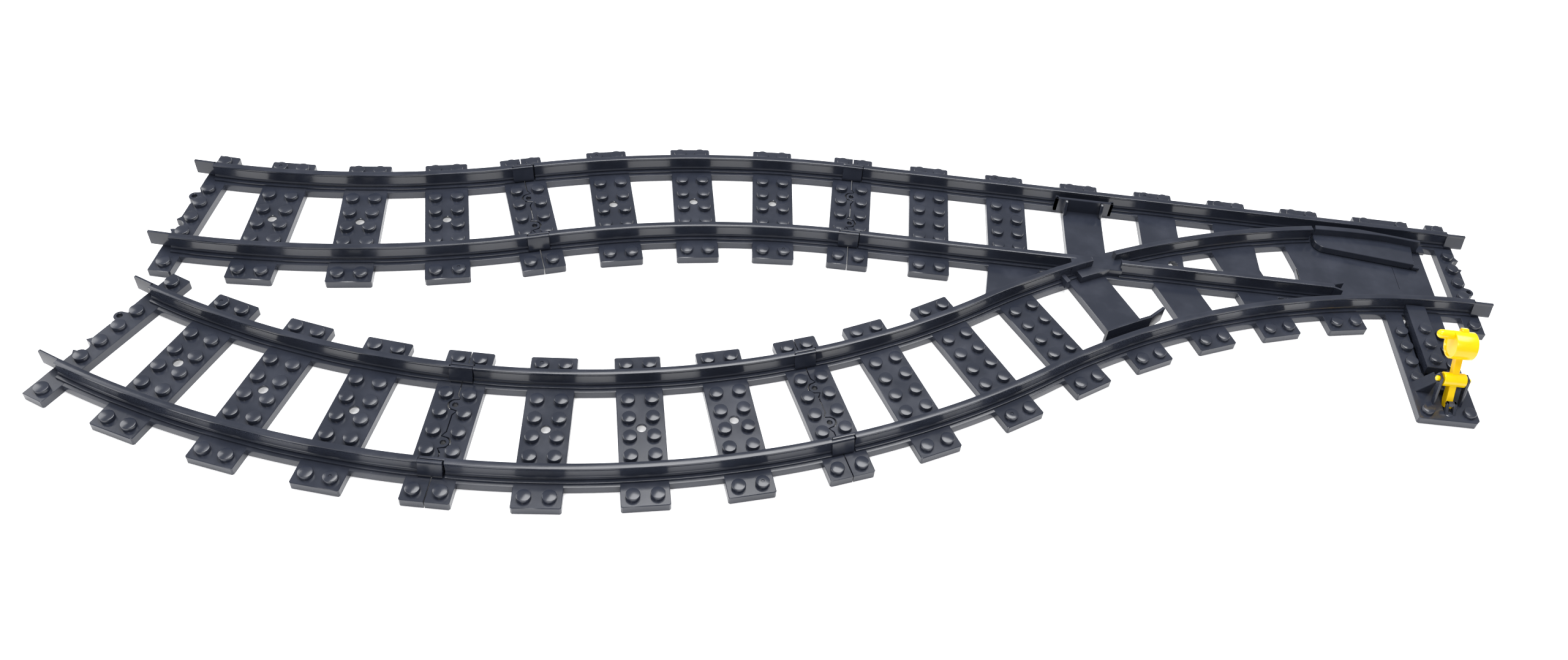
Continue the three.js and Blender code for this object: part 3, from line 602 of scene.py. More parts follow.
def add_node(material: bpy.types.Material, kind: str, links: dict[str, bpy.types.NodeSocket] | None = None,
             **settings: object) -> bpy.types.Node:
    """Adds a shader node, sets its sockets and properties by name, and links other nodes' outputs to it.

    Args:
        material: the material that gets it.
        kind: the node's type.
        links: an output for each named or numbered input.
        settings: a value for each property or input, with _ for a space.

    Returns:
        The node.
    """
    tree = material.node_tree
    node = tree.nodes.new(kind)
    for key, value in settings.items():
        if hasattr(node, key):
            setattr(node, key, value)
        else:
            node.inputs[key.replace("_", " ")].default_value = value
    for key, output in (links or {}).items():
        tree.links.new(output, node.inputs[key])
    return node


@dataclass(frozen=True)
class MouldedABS:
    """Injection-moulded ABS: a glossy skin over a solid colour, a little uneven where the mould was polished.

    Attributes:
        name: the material's name.
        slot: the record's slot that it stands for; nothing reads it.
        colour: the plastic's colour.
        worn: its colour where handling and dust have dulled it.
        roughness: the polished skin's roughness.
        flow: the size of the cloudy patches, in millimetres.
        scratch: the width of the fine handling marks, in millimetres.
        glow: how much light scatters back from inside, on a light colour.
    """

    name: str
    slot: str
    colour: str
    worn: str
    roughness: float
    flow: float = 14.0
    scratch: float = 0.6
    glow: float = 0.0

    def make(self) -> bpy.types.Material:
        """Builds the node tree: clouds shift colour and gloss, and stretched noise makes faint marks."""
        material = blank_material(self.name)
        place = add_node(material, "ShaderNodeTexCoord").outputs["Object"]
        clouds = add_node(
            material, "ShaderNodeTexNoise", {"Vector": place}, Scale=1000 / self.flow, Detail=3.0,
            Roughness=0.6,
        )
        stretched = add_node(
            material, "ShaderNodeMapping", {"Vector": place}, Scale=(1.0, 0.12, 0.5), Rotation=(0.0, 0.0, 0.5)
        )
        marks = add_node(
            material, "ShaderNodeTexNoise", {"Vector": stretched.outputs[0]}, Scale=1000 / self.scratch,
            Detail=2.0,
        )
        dusty = add_node(
            material, "ShaderNodeMapRange", {"Value": clouds.outputs[0]}, From_Min=0.42, From_Max=0.75
        )
        shade = add_node(material, "ShaderNodeMix", {"Factor": dusty.outputs[0]}, data_type="RGBA")
        shade.inputs[6].default_value = linear(self.colour)
        shade.inputs[7].default_value = linear(self.worn)
        gloss = add_node(
            material,
            "ShaderNodeMapRange",
            {"Value": clouds.outputs[0]},
            From_Min=0.3,
            From_Max=0.75,
            To_Min=self.roughness - 0.05,
            To_Max=self.roughness + 0.09,
        )
        bump = add_node(
            material, "ShaderNodeBump", {"Height": marks.outputs[0]}, Strength=0.12, Distance=0.00005
        )
        skin = add_node(
            material,
            "ShaderNodeBsdfPrincipled",
            {"Base Color": shade.outputs[2], "Roughness": gloss.outputs[0], "Normal": bump.outputs[0]},
            IOR=1.54,
            Subsurface_Weight=self.glow,
            Subsurface_Scale=0.002,
        )
        add_node(material, "ShaderNodeOutputMaterial", {"Surface": skin.outputs[0]})
        return material


@dataclass(frozen=True)
class DrawnSteel:
    """Spring wire: drawn through a die, so it is bright with fine lines along its length."""

    name: str = "drawn_spring_steel"
    slot: str = "spring_wire"
    colour: str = "#C3C6CA"

    def make(self) -> bpy.types.Material:
        """Builds the node tree: fine noise in the roughness stands for the die's lines."""
        material = blank_material(self.name)
        place = add_node(material, "ShaderNodeTexCoord").outputs["Object"]
        lines = add_node(material, "ShaderNodeTexNoise", {"Vector": place}, Scale=2500.0, Detail=2.0)
        gloss = add_node(
            material, "ShaderNodeMapRange", {"Value": lines.outputs[0]}, To_Min=0.2, To_Max=0.42
        )
        skin = add_node(
            material, "ShaderNodeBsdfPrincipled", {"Roughness": gloss.outputs[0]}, Metallic=1.0,
            Base_Color=linear(self.colour),
        )
        add_node(material, "ShaderNodeOutputMaterial", {"Surface": skin.outputs[0]})
        return material


class Finish(Enum):
    """The finishes of this object."""

    TRACK = MouldedABS("track_abs", "track_plastic", "#2A2E39", "#333743", 0.2)
    LEVER = MouldedABS("lever_abs", "lever_plastic", "#FFD500", "#FBC800", 0.2, glow=0.08)
    WIRE = DrawnSteel()


@dataclass
class Workshop:
    """Turns solids of the track frame into Blender objects that ride on the frame's bodies.

    Attributes:
        x0: the toe's place along the frame's x.
        y0: the straight route's place along the frame's y.
        materials: the finishes made so far.
    """

    x0: float
    y0: float
    materials: dict[Finish, bpy.types.Material] = field(default_factory=dict)

    def material(self, finish: Finish) -> bpy.types.Material:
        """The finish's material, made once."""
        if finish not in self.materials:
            self.materials[finish] = finish.value.make()
        return self.materials[finish]

    def piece(self, name: str, solids: Sequence[Solid], body: str, finish: Finish = Finish.TRACK,
              smooth: float = 40.0) -> bpy.types.Object:
        """Joins solids into one object in the frame, in metres: the half turn between the two flips x and y.

        Args:
            name: the object's name.
            solids: what it is made of.
            body: the body that it rides on.
            finish: its finish.
            smooth: the angle in degrees under which neighbouring faces shade as one.

        Returns:
            The object.
        """
        points = np.concatenate([p for p, _ in solids]) * (-0.001, -0.001, 0.001) + (self.x0, self.y0, 0)
        faces: list[tuple[int, ...]] = []
        start = 0
        for vertices, own in solids:
            faces += [tuple(v + start for v in f) for f in own]
            start += len(vertices)
        mesh = bpy.data.meshes.new(name)
        mesh.from_pydata(points.tolist(), [], faces)
        mesh.polygons.foreach_set("use_smooth", np.ones(len(faces), dtype=bool))
        mesh.set_sharp_from_angle(angle=math.radians(smooth))
        mesh.materials.append(self.material(finish))
        thing = bpy.data.objects.new(name, mesh)
        bpy.context.scene.collection.objects.link(thing)
        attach(thing, body)
        log.info("%s: %d faces on %s", name, len(faces), body)
        return thing


# ---------- sub-assemblies ----------


@dataclass
class CurveSection:
    """A curve section: ties with studs, two rails on their beams, and a coupling at each end.

    Attributes:
        node: the frame's node that it stands for.
        track: its centre line.
        hole: the radius of the hole in the middle of each tie.
        dimples: which studs have a mould dimple: the tie's number, and the stud's place on it.
    """

    node: str
    track: Track
    hole: float = 1.6
    dimples: tuple[tuple[int, Point], ...] = ((1, (-0.5, 3.5)), (3, (0.5, -3.5)))

    def middles(self) -> list[float]:
        """Where the three whole ties stand."""
        return [k * self.track.length / 4 for k in (1, 2, 3)]

    def ties(self) -> list[Solid]:
        """The whole ties, each with its hole, and the two half ties with the couplings."""
        solids = [end_tie(self.track, 0, True), end_tie(self.track, self.track.length, False)]
        for s in self.middles():
            solids += tie(s, self.track, holes=[circle(0, 0, self.hole)])
        return solids

    def studs(self) -> list[Solid]:
        """Two rows of six on each whole tie and one row on each half tie."""
        marked = {k: [place for n, place in self.dimples if n == k] for k in (1, 2, 3)}
        solids: list[Solid] = []
        for k, s in enumerate(self.middles(), start=1):
            solids += studs_on(self.track, s, grid(PAIR, ROW), marked[k])
        for s in (PITCH / 2, self.track.length - PITCH / 2):
            solids += studs_on(self.track, s, grid((0,), ROW))
        return solids

    def rails(self) -> list[Solid]:
        """Both rails between their tabs."""
        last = self.track.length
        spans = [self.track.sweep(RAIL, TAB_ROOT, last - TAB_ROOT, side * GAUGE_HALF) for side in (-1, 1)]
        return [*spans, *rail_ends(self.track, 0, True), *rail_ends(self.track, last, False)]

    def beams(self) -> list[Solid]:
        """The beam under each rail."""
        half_gap = JOINT_GAP / 2
        last = self.track.length - half_gap
        return [self.track.sweep(BEAM, half_gap, last, side * GAUGE_HALF) for side in (-1, 1)]

    def build(self, shop: Workshop) -> None:
        """Makes the section's pieces in place of its node."""
        parts = {"ties": self.ties, "studs": self.studs, "rails": self.rails, "beams": self.beams}
        for name, make in parts.items():
            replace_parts(shop.piece(f"{self.node}_{name}", make(), "track"), self.node)


@dataclass
class Turnout:
    """The turnout's plates, ties and fixed rails: the straight route, the branch out of it, and the frog.

    Attributes:
        heel: where the tongue turns.
        fan_near: how far the fan plate reaches on the near side.
        fan_end: where it ends along x.
        fan_start: where it starts.
        closure_start: where the straight closure rail starts.
        throat_hole: the x, y and radius of the hole between the closure rails.
        flangeway: from a rail's centre to the edge of the frog's floor.
    """

    heel: Point = (7.4 * PITCH, -1.3 * PITCH)
    fan_near: float = 2.75 * PITCH
    fan_end: float = 9 * PITCH
    fan_start: float = 1.95 * PITCH
    closure_start: float = 7.7 * PITCH
    throat_hole: tuple[float, float, float] = (15.55 * PITCH, 1.4 * PITCH, 2.0)
    flangeway: float = 5.2
    straight: Track = Track(0, 0, 0, STRAIGHT_LENGTH)
    first: Track = Track(0, 0, 0, CURVE_RADIUS * BRANCH_TURN, BRANCH_TURN)

    def __post_init__(self) -> None:
        """Works out the branch's second curve, and the place where the two routes' rails cross."""
        x, y = self.first.at(self.first.length)
        back = BRANCH_TURN - CURVE_TURN
        self.second = Track(x, y, BRANCH_TURN, CURVE_RADIUS * back, -back)
        self.branch_length = self.first.length + self.second.length
        self.frog_x = math.sqrt(2 * CURVE_RADIUS * 2 * GAUGE_HALF)

    def rail_at(self, x: float) -> float:
        """How far along the branch its far rail reaches x, from the angle's sine."""
        return CURVE_RADIUS * math.asin(x / (CURVE_RADIUS + GAUGE_HALF))

    def branch(self, s: float) -> tuple[Track, float]:
        """The branch's curve that holds a distance, and the distance along that curve."""
        return (self.first, s) if s < self.first.length else (self.second, s - self.first.length)

    def branch_sweep(self, section: np.ndarray, s0: float, s1: float, offset: float) -> list[Solid]:
        """A section swept along the branch, over one curve or both."""
        split = self.first.length
        solids = [self.first.sweep(section, s0, min(s1, split), offset)] if s0 < split else []
        if s1 > split:
            solids.append(self.second.sweep(section, max(s0, split) - split, s1 - split, offset))
        return solids

    def branch_point(self, x: float, offset: float = 0.0) -> np.ndarray:
        """The point on the branch's far rail at x, moved to the left."""
        return self.first.at(self.rail_at(x), -GAUGE_HALF + offset)

    def ends(self) -> list[tuple[Track, float, bool]]:
        """The turnout's three ends: a track, a distance, and whether the end looks back."""
        return [
            (self.straight, 0.0, True),
            (self.straight, STRAIGHT_LENGTH, False),
            (self.second, self.second.length, False),
        ]

    def plates(self) -> list[Solid]:
        """The ties of both routes, the fan plate under the tongue, and the web between the legs."""
        near, far = GAUGE_HALF, -GAUGE_HALF
        solids = [end_tie(*self.ends()[k]) for k in range(3)]
        solids.append(block(2 * PITCH, 5 * PITCH, -TIE_HALF, far, 0, PLATE))
        for k in (2, 3, 5, 6):
            solids += tie(k * TIE_SPACING, self.straight, high=near)
            curve, s = self.branch(k * TIE_SPACING)
            solids += tie(s, curve, low=far, top=PLATE - LAYER)
        solids += self.throat_ties()
        solids += tie(7 * TIE_SPACING, self.straight)
        for k in (7, 8):
            curve, s = self.branch(k * TIE_SPACING)
            solids += tie(s, curve)
        fan = rectangle(self.fan_start, self.fan_end, far, self.fan_near)
        seam = rectangle(3.75 * PITCH - 0.07, 3.75 * PITCH + 0.07, -0.3 * PITCH, 1.34 * PITCH)
        drive = rectangle(LEVER_X - 1.5, LEVER_X + 1.5, -13.4, -6.5)
        solids.append(slab(fan, 0, PLATE - 2 * LAYER, [seam, drive], edge=0.05))
        web = [
            (self.frog_x + 2 * PITCH, near),
            (self.frog_x + 5 * PITCH, near),
            tuple(self.branch_point(self.frog_x + 5.3 * PITCH)),
        ]
        solids.append(slab(np.array(web), 0, PLATE - 3 * LAYER))
        solids.append(block(1.75 * PITCH, 2.2 * PITCH, -2.05 * PITCH, -1.5 * PITCH, PLATE - BURIED, 4.4))
        return solids

    def throat_ties(self) -> list[Solid]:
        """The two ties that cross in the throat, with one round hole through both.

        The hole's middle, seen from a tie, is its distance from the tie's middle turned back by the heading.
        """
        x, y, radius = self.throat_hole
        s = 4 * TIE_SPACING
        dx, dy = np.array([x, y]) - self.first.at(s)
        c, n = math.cos(self.first.heading_at(s)), math.sin(self.first.heading_at(s))
        across = circle(c * dx + n * dy, c * dy - n * dx, radius)
        return [
            *tie(s, self.straight, high=GAUGE_HALF, holes=[circle(x - s, y, radius)], edge=0.12),
            *tie(s, self.first, low=-GAUGE_HALF, holes=[across], top=PLATE - LAYER, edge=0.12, wall=0.3),
        ]

    def studs(self) -> list[Solid]:
        """The turnout's studs: whole rows away from the frog, and only the outer pairs beside it."""
        solids: list[Solid] = []
        for track, s, backwards in self.ends():
            solids += studs_on(track, s + (PITCH / 2 if backwards else -PITCH / 2), grid((0,), ROW))
        solids += studs_on(self.straight, 3.5 * PITCH, grid((-1, 1), FAR))
        for k in (2, 3, 4, 5):
            marked = [(0.5, -3.5)] if k == 4 else []
            solids += studs_on(self.straight, k * TIE_SPACING, grid(PAIR, FAR), marked)
        solids += studs_on(self.straight, 6 * TIE_SPACING, grid(PAIR, (*FAR, *INNER)), [(0.5, -3.5)])
        solids += studs_on(self.straight, 7 * TIE_SPACING, grid(PAIR, ROW))
        for k in (2, 3, 4, 5, 6, 7, 8):
            curve, s = self.branch(k * TIE_SPACING)
            rows = NEAR if k < 6 else (*INNER, *NEAR) if k == 6 else ROW
            solids += studs_on(curve, s, grid(PAIR, rows), [(0.5, 3.5)] if k == 7 else [])
        return solids

    def rails(self) -> list[Solid]:
        """The stock rails, the closure rails between tongue and frog, and the rails that leave the frog."""
        near, far = GAUGE_HALF, -GAUGE_HALF
        last = STRAIGHT_LENGTH - TAB_ROOT
        x = self.frog_x
        solids = [
            self.straight.sweep(RAIL, TAB_ROOT, last, far),
            self.straight.sweep(RAIL, self.closure_start, x - 1.5 * PITCH, near),
            self.straight.sweep(RAIL, x + 0.8 * PITCH, last, near),
        ]
        end = self.branch_length - TAB_ROOT
        solids += self.branch_sweep(RAIL, TAB_ROOT, end, near)
        closure = self.rail_at(self.heel[0] + 0.45 * PITCH + 1)
        solids += self.branch_sweep(RAIL, closure, self.rail_at(x - 1.2 * PITCH), far)
        solids += self.branch_sweep(RAIL, self.rail_at(x), end, far)
        for track, s, backwards in self.ends():
            solids += rail_ends(track, s, backwards)
        return [*solids, *self.fork()]

    def fork(self) -> list[Solid]:
        """The two thin prongs that spread from the straight closure rail's free end."""
        x = self.closure_start + BURIED
        solids = []
        for side, tip in ((-1, (7.2 * PITCH, 2.2 * PITCH)), (1, (7.35 * PITCH, 2.75 * PITCH))):
            root = GAUGE_HALF + side * (HEAD_HALF - FORK_HALF)
            ends = [(*tip, -1), (x, root, -1), (x, root, 1), (*tip, 1)]
            outline = np.array([(ex, ey + sign * FORK_HALF) for ex, ey, sign in ends])
            solids.append(slab(outline, PLATE - BURIED, RAIL_TOP, edge=0.15))
        return solids

    def beams(self) -> list[Solid]:
        """The beams under the rails: the stock rails' whole, the others from the fan plate on."""
        near, far, gap = GAUGE_HALF, -GAUGE_HALF, JOINT_GAP / 2
        last = STRAIGHT_LENGTH - gap
        return [
            self.straight.sweep(BEAM, gap, last, far),
            self.straight.sweep(BEAM, 8 * PITCH, last, near),
            *self.branch_sweep(BEAM, gap, self.branch_length - gap, near),
            *self.branch_sweep(BEAM, 8 * PITCH, self.branch_length - gap, far),
        ]

    def frog(self) -> list[Solid]:
        """The frog: a raised floor that carries wheel flanges across the gap, and the rails' joined point."""
        near, x = GAUGE_HALF, self.frog_x
        across = both_sides([(BEAM_HALF, PLATE - BURIED, 0), (BEAM_HALF, FLOOR_TOP - 0.03, EDGE)])
        across[across[:, 0] > 0, 0] += self.flangeway - BEAM_HALF
        low, high = x - 1.6 * PITCH, x + 0.8 * PITCH
        straight_floor = rectangle(low, high, near - self.flangeway, near + BEAM_HALF / 2)
        point = np.array(
            [
                (x, near - HEAD_HALF),
                (x + 1.1 * PITCH, near - HEAD_HALF),
                tuple(self.branch_point(x + 1.1 * PITCH, HEAD_HALF)),
                tuple(self.branch_point(x, HEAD_HALF)),
            ]
        )
        return [
            *self.branch_sweep(across, self.rail_at(low), self.rail_at(high), -near),
            *self.branch_sweep(across, self.rail_at(x + 1.4 * PITCH), self.rail_at(x + 1.6 * PITCH), -near),
            slab(straight_floor, 0.1, FLOOR_TOP),
            slab(point, PLATE, RAIL_TOP - 0.02, edge=0.2),
        ]

    def check_rails(self) -> list[Solid]:
        """The wall beside the far rail with its ribs, and the flared wall beside the branch's near rail."""
        y = -GAUGE_HALF + CHECK_OFFSET
        x = self.frog_x
        low = PLATE - BURIED
        t = CHECK_HALF
        solids = [block(x - 1.5 * PITCH, x + 1.5 * PITCH, y - t, y + t, low, RAIL_TOP)]
        slope = [(y + 1.6, RAIL_TOP - 0.8), (y + 3.6, PLATE)]
        rib = np.array([(y, low), (y, RAIL_TOP - 0.4), *slope, (y + 3.6, low)])
        for side in (-1, 1):
            end = x + side * (1.5 * PITCH - t)
            middle = x + side * (PITCH - t)
            solids.append(block(end - t, end + t, y - 2 * t, y + t, low, RAIL_TOP))
            solids.append(sideways(slab(rib, middle - t, middle + t)))
        s = 5 * TIE_SPACING
        offset = GAUGE_HALF - CHECK_OFFSET
        solids.append(self.first.sweep(CHECK, s - PITCH, s + 1.7 * PITCH, offset))
        start = self.first.at(s - PITCH + 0.2, offset)
        flare = Track(*start, float(self.first.heading_at(s - PITCH)) + math.pi + 0.3, PITCH)
        solids.append(flare.sweep(CHECK, 0, PITCH, 0))
        return solids

    def build(self, shop: Workshop) -> None:
        """Makes the turnout's fixed pieces in place of the base."""
        parts = {
            "plates": self.plates,
            "studs": self.studs,
            "rails": self.rails,
            "beams": self.beams,
            "frog": self.frog,
            "check_rails": self.check_rails,
        }
        for name, make in parts.items():
            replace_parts(shop.piece(f"turnout_{name}", make(), "track"), "turnout_base")


@dataclass
class LeverStand:
    """The deck beside the track, the two A-frames that hold the lever, and the cover over the throw bar.

    Attributes:
        left, right, front: the deck's edges.
        cheek: from the lever's middle to a frame's inner face.
        slot: where the lever's foot swings, along y.
        cover: the cover's edges along x and y.
    """

    left: float = 5 * PITCH
    right: float = 2.05 * PITCH
    front: float = 10 * PITCH
    cheek: float = 4.6
    slot: Point = (HUB_Y - 8.6, HUB_Y + 8.0)
    cover: tuple[float, float, float, float] = (3 * PITCH, 4 * PITCH, 2.85 * PITCH, 7.05 * PITCH)

    def deck(self) -> list[Solid]:
        """The plate with its slot, its studs and the mould's round mark."""
        x0, x1, y0, _ = self.cover
        outline = np.array(
            [
                (self.left, GAUGE_HALF),
                (self.left, self.front - 0.6),
                (self.left - 0.6, self.front),
                (self.right + 1.4, self.front),
                (self.right, self.front - 1.4),
                (self.right, GAUGE_HALF),
            ]
        )
        slot = [
            (x0 - 0.5, y0 - 0.5),
            (x1 + 1, y0 - 0.5),
            (x1 + 1, self.slot[0] + 0.5),
            (LEVER_X + 1.8, self.slot[0] + 0.5),
            (LEVER_X + 1.8, self.slot[1]),
            (LEVER_X - 1.8, self.slot[1]),
            (LEVER_X - 1.8, self.slot[0] + 0.5),
            (x0 - 0.5, self.slot[0] + 0.5),
        ]
        solids = [slab(outline, 0, PLATE, [np.array(slot)])]
        for y in (4.5, 5.5, 6.5, 7.5, 9.5):
            solids += [stud(4.5 * PITCH, y * PITCH), stud(2.5 * PITCH, y * PITCH)]
        mark = turned([(1.5, -BURIED), (1.5, 0.1), (1.4, 0.16)])
        solids.append(moved(mark, 3.5 * PITCH, 9.6 * PITCH, PLATE))
        return solids

    def bracket(self) -> list[Solid]:
        """The A-frames with their bearing holes, the buttress beside one and the stop before the foot."""
        low, top = PLATE - BURIED, HUB_Z + 1.7
        frame = np.array(
            [
                (HUB_Y - 6.4, low),
                (HUB_Y - 1.7, top),
                (HUB_Y + 1.7, top),
                (HUB_Y + 5.6, low),
                (HUB_Y + 3.6, low),
                (HUB_Y, HUB_Z - 2.6),
                (HUB_Y - 4.2, low),
            ]
        )
        bearing = circle(HUB_Y, HUB_Z, 1.25, 16)
        starts = (LEVER_X + (-self.cheek - 1), LEVER_X + self.cheek)
        solids = [sideways(slab(frame, x, x + 1, [bearing])) for x in starts]
        x = LEVER_X + self.cheek
        buttress = np.array([(x + 0.5, low), (x + 0.5, HUB_Z - 2), (x + 6.6, low)])
        solids.append(stood(slab(buttress, HUB_Y - 5.2, HUB_Y - 0.2)))
        y = self.slot[1]
        tip = [(HUB_Y + 6.1, PLATE + 3.4), (HUB_Y + 7.4, PLATE + 3.4)]
        stop = np.array([(y + 0.2, low), *tip, (y + 2.6, low)])
        for side in (-2.0, 0.9):
            solids.append(sideways(slab(stop, LEVER_X + side, LEVER_X + side + 1.1)))
        lip = np.array([(HUB_Y + 6.1, PLATE + 2.2), *tip, (HUB_Y + 7.8, PLATE + 2.2)])
        solids.append(sideways(slab(lip, LEVER_X - 2.0, LEVER_X + 2.0)))
        return solids

    def top_cover(self) -> list[Solid]:
        """The raised cover with three studs, and its four legs."""
        x0, x1, y0, y1 = self.cover
        solids = [block(x0, x1, y0, y1, PLATE - 0.7, 2 * PLATE)]
        solids += [stud(3.5 * PITCH, y * PITCH, 2 * PLATE) for y in (4.55, 5.55, 6.55)]
        for y in (y0 + 6.4, y1 - 4.2):
            solids += [block(x, x + 0.8, y, y + 4, 0.9, PLATE) for x in (x0, x1 - 0.8)]
        return solids

    def build(self, shop: Workshop) -> None:
        """Makes the stand in place of the base's deck, and the cover in place of its node."""
        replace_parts(shop.piece("lever_deck", self.deck(), "track"), "turnout_base")
        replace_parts(shop.piece("lever_bracket", self.bracket(), "track"), "turnout_base")
        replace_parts(shop.piece("throw_bar_cover", self.top_cover(), "track"), "mechanism_cover")


@dataclass
class Tongue:
    """The point tongue: a wedge-shaped table with a raised blade along its far edge, turned about its heel.

    Attributes:
        heel: its pivot.
        throw: the angle from the straight route to the branch.
        tip: where the blade starts along x, as thrown.
        near: the table's near edge, as thrown.
    """

    heel: Point
    throw: float = math.radians(7)
    tip: float = 2.3 * PITCH
    near: float = -0.765 * PITCH

    def edges(self) -> tuple[np.ndarray, np.ndarray, np.ndarray]:
        """The blade's x, far edge and near edge: arcs of the branch's far rail, clear of the stock rail."""
        x = np.linspace(self.tip, self.heel[0] + 0.45 * PITCH, 25)
        outer, inner = CURVE_RADIUS + GAUGE_HALF + HEAD_HALF, CURVE_RADIUS + GAUGE_HALF - HEAD_HALF
        far = np.maximum(CURVE_RADIUS - np.sqrt(outer**2 - x**2), -GAUGE_HALF + HEAD_HALF + 0.4)
        near = np.maximum(CURVE_RADIUS - np.sqrt(inner**2 - x**2), far + HEAD_HALF)
        return x, far, near

    def solids(self) -> list[Solid]:
        """The blade, the table and its tab, turned back to rest about the heel, and the two pins."""
        x, far, near = self.edges()
        bottom = PLATE + JOINT_GAP
        blade = np.concatenate([np.column_stack([x, far]), np.column_stack([x, near])[::-1]])
        corner = 0.6 * PITCH
        angle = np.linspace(0, math.pi / 2, 7)
        rounded = np.column_stack(
            [x[-1] - corner + corner * np.cos(angle), self.near - corner + corner * np.sin(angle)]
        )
        tab_top = bottom + 1.4
        toe = x[0] + 0.35 * PITCH
        keep = x > toe + 1
        table = np.concatenate(
            [
                np.column_stack([x[keep], far[keep] + 0.2]),
                rounded,
                [(toe, self.near), (toe, far[0] + 0.2)],
            ]
        )
        drawn = [
            slab(blade, bottom, RAIL_TOP, edge=0.18),
            slab(table, bottom, FLOOR_TOP, edge=0.18),
            block(self.tip, self.tip + 0.5 * PITCH, self.near - 0.25 * PITCH, self.near, bottom, tab_top),
        ]
        x0, y0 = self.heel
        at_heel = [moved(g, -x0, -y0) for g in drawn]
        turned_back = [moved(g, x0, y0, heading=-self.throw) for g in at_heel]
        pivot = moved(turned([(1.6, 0.9), (1.6, bottom + BURIED)]), x0, y0)
        pin = moved(turned([(0.9, 0.9), (0.9, bottom + BURIED)], 12), LEVER_X, -PITCH)
        return [*turned_back, pivot, pin]

    def build(self, shop: Workshop) -> None:
        """Makes the tongue in place of its node."""
        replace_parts(shop.piece("tongue", self.solids(), "tongue"), "point_tongue")


@dataclass
class HandLever:
    """The hand lever: a drum-shaped weight with a side handle on an arm, with its hub, trunnions and foot.

    Attributes:
        lean: from upright, towards -y at rest.
        weight: the drum's radius.
        weight_half: half its length.
        reach: from the hub's axis to the drum's.
        hub: the hub's radius.
        hub_half: half its length.
        handle: the handle's radius.
        arm_half: half the arm's thickness.
    """

    lean: float = math.radians(32.5)
    weight: float = 5.3
    weight_half: float = 4.2
    reach: float = 13.3
    hub: float = 2.65
    hub_half: float = 4.3
    handle: float = 1.7
    arm_half: float = 1.3

    def leant(self, solid: Solid) -> Solid:
        """Leans a solid that was drawn upright about the hub, and moves it there."""
        points, faces = solid
        c, s = math.cos(self.lean), math.sin(self.lean)
        return points @ np.array([[1, 0, 0], [0, c, s], [0, -s, c]]) + (LEVER_X, HUB_Y, HUB_Z), faces

    def knob(self) -> Solid:
        """The handle: a round rod along x whose end is a half ball."""
        end = self.weight_half + 4.2
        fall = np.linspace(0, math.pi / 2 * 0.97, 7)
        ball = [(self.handle * math.cos(a), end + self.handle * math.sin(a)) for a in fall]
        rod = sideways(turned([(self.handle, 0.0), *ball], 24))
        return rod[0] + (0, 0, self.reach + self.weight - self.handle), rod[1]

    def drum(self) -> Solid:
        """The weight: a drum whose handle-side face is a shallow dish inside a thin rim."""
        half, r = self.weight_half, self.weight
        barrel_side = [(r - 0.3, -half), (r, -half + 0.3), (r, half - 0.25)]
        rim = [(r - 0.2, half), (r - 0.7, half), (r - 0.9, half - 0.5)]
        drum = sideways(turned([*barrel_side, *rim], 48))
        return drum[0] + (0, 0, self.reach), drum[1]

    def solids(self) -> list[Solid]:
        """Everything that is moulded in one with the lever, at rest."""
        a = self.arm_half
        top = self.reach + self.weight + 1.2
        arm = [(-1.7, -1), (1.2, -1), (1.2, top - 1), (0.4, top), (-0.9, top), (-1.7, top - 1)]
        foot = [(1.2, 0), (1.2, -10.9), (-1.8, -10.9), (-2.6, -8.0), (-1.7, 0)]
        drawn = [
            barrel(-self.hub_half, self.hub_half, self.hub),
            barrel(-6.6, 6.6, 1.0, sides=20),
            sideways(slab(np.array(arm), -a, a, edge=0.2)),
            sideways(slab(np.array(foot), -a, a, edge=0.2)),
            self.drum(),
            self.knob(),
        ]
        return [self.leant(g) for g in drawn]

    def build(self, shop: Workshop) -> None:
        """Makes the lever in place of its node."""
        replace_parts(shop.piece("hand_lever", self.solids(), "lever", Finish.LEVER), "throw_lever")


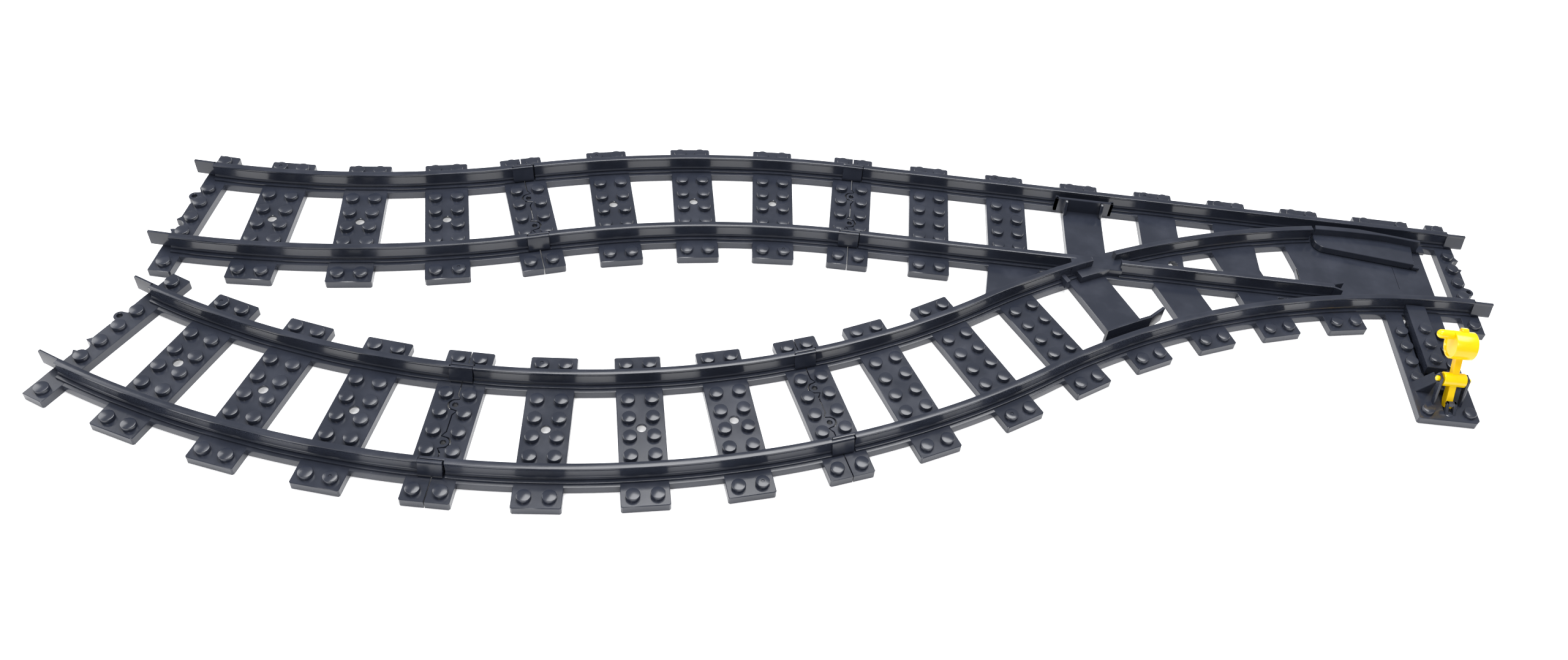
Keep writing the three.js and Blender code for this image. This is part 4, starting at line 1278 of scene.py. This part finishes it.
@dataclass
class Studio:
    """A white sweep under broad soft lights, and the camera.

    Attributes:
        toe: the toe's place in the frame, in metres.
        camera: the camera's place from the toe, in metres.
        aim: its turn about x, y and z, in degrees.
        focal: its focal length on a sensor 36 mm wide.
        shift: how far the picture is moved sideways, as a share of its width.
        table: the light that the floor gives off by itself.
    """

    toe: Vector
    camera: tuple[float, float, float] = (-0.27815, -0.39609, 0.35074)
    aim: tuple[float, float, float] = (43.216, -6.593, 2.183)
    focal: float = 29.89
    shift: float = -0.0469
    table: float = 0.42

    def floor(self) -> None:
        """A wide pale floor, level with the track's underside."""
        mesh = bpy.data.meshes.new("floor")
        r = 4.0
        mesh.from_pydata([(-r, -r, 0), (r, -r, 0), (r, r, 0), (-r, r, 0)], [], [(0, 1, 2, 3)])
        floor = bpy.data.objects.new("floor", mesh)
        bpy.context.scene.collection.objects.link(floor)
        paper = bpy.data.materials.new("white_paper")
        paper.use_nodes = True
        skin = paper.node_tree.nodes["Principled BSDF"]
        skin.inputs["Base Color"].default_value = linear("#FBFBFC")
        skin.inputs["Roughness"].default_value = 0.7
        skin.inputs["Emission Color"].default_value = (1.0, 1.0, 1.0, 1.0)
        skin.inputs["Emission Strength"].default_value = self.table
        mesh.materials.append(paper)
        floor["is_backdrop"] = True

    def light(self, name: str, at: tuple[float, float, float], size: float, power: float) -> None:
        """A square soft light that points at the object's middle."""
        lamp = bpy.data.lights.new(name, "AREA")
        lamp.size = size
        lamp.energy = power
        thing = bpy.data.objects.new(name, lamp)
        thing.location = at
        thing.rotation_euler = (-Vector(at)).to_track_quat("-Z", "Y").to_euler()
        bpy.context.scene.collection.objects.link(thing)

    def lights(self) -> None:
        """An even white sky, and a large lamp over and behind the object."""
        world = bpy.data.worlds.new("studio")
        bpy.context.scene.world = world
        world.use_nodes = True
        sky = world.node_tree.nodes["Background"]
        sky.inputs["Color"].default_value = (1.0, 1.0, 1.0, 1.0)
        sky.inputs["Strength"].default_value = 0.32
        self.light("overhead", (0.1, 0.3, 1.4), 1.0, 24)
        self.light("window", (-1.3, 0.5, 0.9), 0.8, 9)
        self.light("front", (-0.35, -0.95, 1.15), 0.4, 6)
        view = bpy.context.scene.view_settings
        view.view_transform = "Standard"

    def aim_camera(self) -> None:
        """The camera, looking down on the track from its near side."""
        lens = bpy.data.cameras.new("camera")
        lens.sensor_width = 36
        lens.lens = self.focal
        lens.shift_x = self.shift
        camera = bpy.data.objects.new("camera", lens)
        camera.location = self.toe + Vector(self.camera)
        camera.rotation_euler = Euler([math.radians(a) for a in self.aim])
        bpy.context.scene.collection.objects.link(camera)
        bpy.context.scene.camera = camera

    def build(self) -> None:
        """Sets the scene round the object."""
        self.floor()
        self.lights()
        self.aim_camera()


def curve_pair(nodes: tuple[str, str], start: tuple[float, float, float], turns: Point) -> list[CurveSection]:
    """Two curve sections in a row: the second starts where the first ends.

    Args:
        nodes: the frame's node for each.
        start: the first one's x, y and heading.
        turns: how much each one turns.

    Returns:
        The sections.
    """
    length = CURVE_RADIUS * CURVE_TURN
    first = Track(*start, length, turns[0])
    x, y = first.at(length)
    second = Track(x, y, float(first.heading_at(length)), length, turns[1])
    return [CurveSection(nodes[0], first), CurveSection(nodes[1], second)]


def write_sizes(cad: object) -> None:
    plain = lambda box: [[float(v) for v in corner] for corner in box]
    {"cad": plain(cad), "visual": plain(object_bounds())}


def main() -> None:
    """Builds the turnout, its mechanism, the four curve sections and the studio."""
    logging.basicConfig(level=logging.INFO, format="%(message)s")
    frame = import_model()
    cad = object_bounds()
    hinge = next(j for j in frame["joints"] if j["name"] == "lever_throw")
    x0, y0 = hinge["pos_m"][0] + LEVER_X / 1000, hinge["pos_m"][1] + HUB_Y / 1000
    shop = Workshop(x0, y0)
    Studio(Vector((x0, y0, 0))).build()
    turnout = Turnout()
    turnout.build(shop)
    LeverStand().build(shop)
    Tongue(turnout.heel).build(shop)
    HandLever().build(shop)
    exit_x, exit_y = turnout.second.at(turnout.second.length)
    straight_turns = (LAID_TURNS[0], -LAID_TURNS[1])
    straight_nodes = ("straight_route_curve_1", "straight_route_curve_2")
    branch_nodes = ("branch_route_curve_1", "branch_route_curve_2")
    sections = curve_pair(straight_nodes, (STRAIGHT_LENGTH, 0, 0), straight_turns)
    sections += curve_pair(branch_nodes, (exit_x, exit_y, CURVE_TURN), (-CURVE_TURN, -CURVE_TURN))
    for section in sections:
        section.build(shop)
    finishes = {"throw_bar": Finish.TRACK, "bottom_cover": Finish.TRACK, "toggle_spring": Finish.WIRE}
    for node, finish in finishes.items():
        frame["nodes"][node].data.materials.clear()
        frame["nodes"][node].data.materials.append(shop.material(finish))
    write_sizes(cad)


if __name__ == "__main__":
    main()
